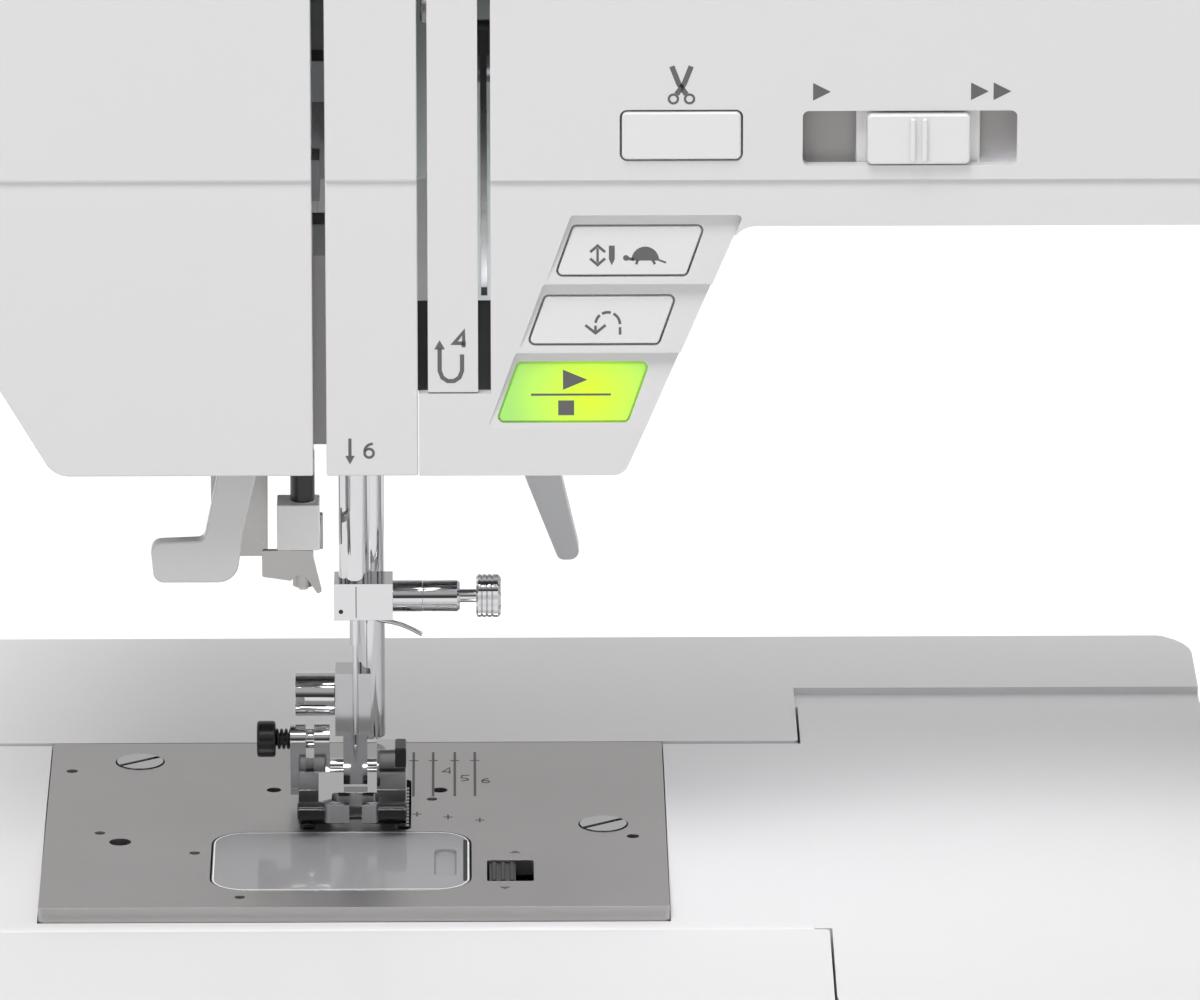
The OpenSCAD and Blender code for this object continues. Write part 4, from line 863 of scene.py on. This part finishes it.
# %% Handwheel grip and feed teeth
wheel_low, wheel_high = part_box("handwheel")
wheel_centre = (wheel_low + wheel_high) / 2
wheel_r = (wheel_high.z - wheel_low.z) / 2
to_x_axis = Matrix.Rotation(math.radians(90), 4, "Y")
rib = small_block("grip_rib", (2.2, 1.1, 7.0), taper=0.9)
repeated("handwheel_ribs", ring_tree, rib, 40, wheel_r - 9.6 * MM, parts_white, body_of("handwheel"),
         Matrix.Translation((wheel_high.x - 4.1 * MM, wheel_centre.y, wheel_centre.z)) @ to_x_axis)

dog_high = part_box("feed_dog")[1]
tooth = small_block("feed_tooth", (2.2, 0.75, 0.5), taper=0.45)
for number, (x, y, count) in enumerate(((-9.1, -3.5, 15), (-4.1, 6.5, 9), (4.1, 6.5, 9), (9.1, -3.5, 15))):
    place = at(x, y, 0)
    place.z = dog_high.z - 0.25 * MM
    repeated(f"feed_teeth_{number + 1}", row_tree, tooth.copy(), count, 1.6 * MM, turned_steel,
             body_of("feed_dog"), Matrix.Translation(place))
print("ribs and teeth set out")

# %% [markdown]
# ## Screws of the covers
# Four low-headed screws hold the rear cover. A ray finds the wall each one sits on, and two dark bars of
# painted shade on its head stand for the crossed recess.

# %% Cover screws
cover_mesh = merged_mesh("rear_cover")
cover_faces = BVHTree.FromBMesh(cover_mesh)
cover_mesh.free()
screw_head = [(-0.3, 3.4), (0.35, 3.4), (0.55, 3.0)]
for number, (x, z) in enumerate(((12, 98), (12, 195), (300, 40), (300, 195))):
    seat = cover_faces.ray_cast(at(x, 150, z), Vector((0, -1, 0)))[0]
    seat_y = (seat.y - NEEDLE.y) / MM
    turned(f"rear_screw_{number + 1}", "rear_cover", screw_head, (x, seat_y, z), 1, turned_steel, steps=40)
    for bar, (half_x, half_z) in (("across", (1.5, 0.28)), ("upright", (0.28, 1.5))):
        block(f"rear_screw_{number + 1}_{bar}", "rear_cover", (x - half_x, seat_y + 0.4, z - half_z),
              (x + half_x, seat_y + 0.6, z + half_z), shadow_line, 0.02, 1)
    print("screw seat", x, z, round(seat_y, 2))
print("screws set")

# %% [markdown]
# ## Floor and light
# The floor is a pale sheet that glows a little, like a light table, so it meets the sky without
# a line. The sky is bright above and has a dark card behind the viewer and one on each side:
# polished steel needs something dark to mirror, or it would look like white paint.

# %% Floor
FLOOR = 30.0
floor_mesh = bpy.data.meshes.new("floor")
floor_mesh.from_pydata([(-FLOOR, -FLOOR, 0), (FLOOR, -FLOOR, 0), (FLOOR, FLOOR, 0), (-FLOOR, FLOOR, 0)],
                       [], [(0, 1, 2, 3)])
floor = bpy.data.objects.new("floor", floor_mesh)
bpy.context.scene.collection.objects.link(floor)
floor_finish = plastic("pale_floor", (0.36, 0.36, 0.36), 0.6, grain_mm=0.0)
floor_glow = floor_finish.node_tree.nodes["Principled BSDF"]
floor_glow.inputs["Emission Color"].default_value = (1, 1, 1, 1)
floor_glow.inputs["Emission Strength"].default_value = 0.68
floor_mesh.materials.append(floor_finish)
print("floor", FLOOR * 2, "m wide")

# %% Sky
SKY = 0.55
world = bpy.data.worlds.new("studio")
world.use_nodes = True
sky = world.node_tree
direction = add(sky, "ShaderNodeTexCoord").outputs["Generated"]
split = add(sky, "ShaderNodeSeparateXYZ")
sky.links.new(direction, split.inputs["Vector"])
sideways = add(sky, "ShaderNodeMapRange")
sideways.inputs["From Min"].default_value = -1.0
sky.links.new(split.outputs["X"], sideways.inputs["Value"])
cards = ramp(sky, sideways.outputs["Result"],
             [(0.03, (1, 1, 1)), (0.045, (0.12,) * 3), (0.075, (0.12,) * 3), (0.09, (1, 1, 1)),
              (0.91, (1, 1, 1)), (0.925, (0.12,) * 3), (0.955, (0.12,) * 3), (0.97, (1, 1, 1))])
behind_viewer = add(sky, "ShaderNodeMapRange")
behind_viewer.inputs["From Min"].default_value = -0.97
behind_viewer.inputs["From Max"].default_value = -0.86
behind_viewer.inputs["To Min"].default_value = 0.10
sky.links.new(split.outputs["Y"], behind_viewer.inputs["Value"])
both = add(sky, "ShaderNodeVectorMath", operation="MULTIPLY")
sky.links.new(cards, both.inputs[0])
sky.links.new(behind_viewer.outputs["Result"], both.inputs[1])
sky.links.new(both.outputs["Vector"], sky.nodes["Background"].inputs["Color"])
sky.nodes["Background"].inputs["Strength"].default_value = SKY
bpy.context.scene.world = world
bpy.context.scene.view_settings.view_transform = "Standard"
print("sky made, strength", SKY)


# %% Lamps
def area_lamp(name, place, target, size, power):
    data = bpy.data.lights.new(name, "AREA")
    data.shape = "RECTANGLE"
    data.size, data.size_y = size
    data.energy = power
    lamp = bpy.data.objects.new(name, data)
    bpy.context.scene.collection.objects.link(lamp)
    lamp.location = place
    lamp.rotation_euler = (Vector(target) - Vector(place)).to_track_quat("-Z", "Y").to_euler()
    return lamp


area_lamp("key", (-0.4, -0.9, 2.2), NEEDLE, (1.1, 0.9), 29)
area_lamp("top", (0.2, -0.3, 2.2), NEEDLE, (1.0, 0.8), 8)
rear_lamp = area_lamp("rear", (0.2, 1.1, 1.1), NEEDLE, (1.0, 0.5), 3.5)
rear_lamp.visible_glossy = False
print("lamps lit")
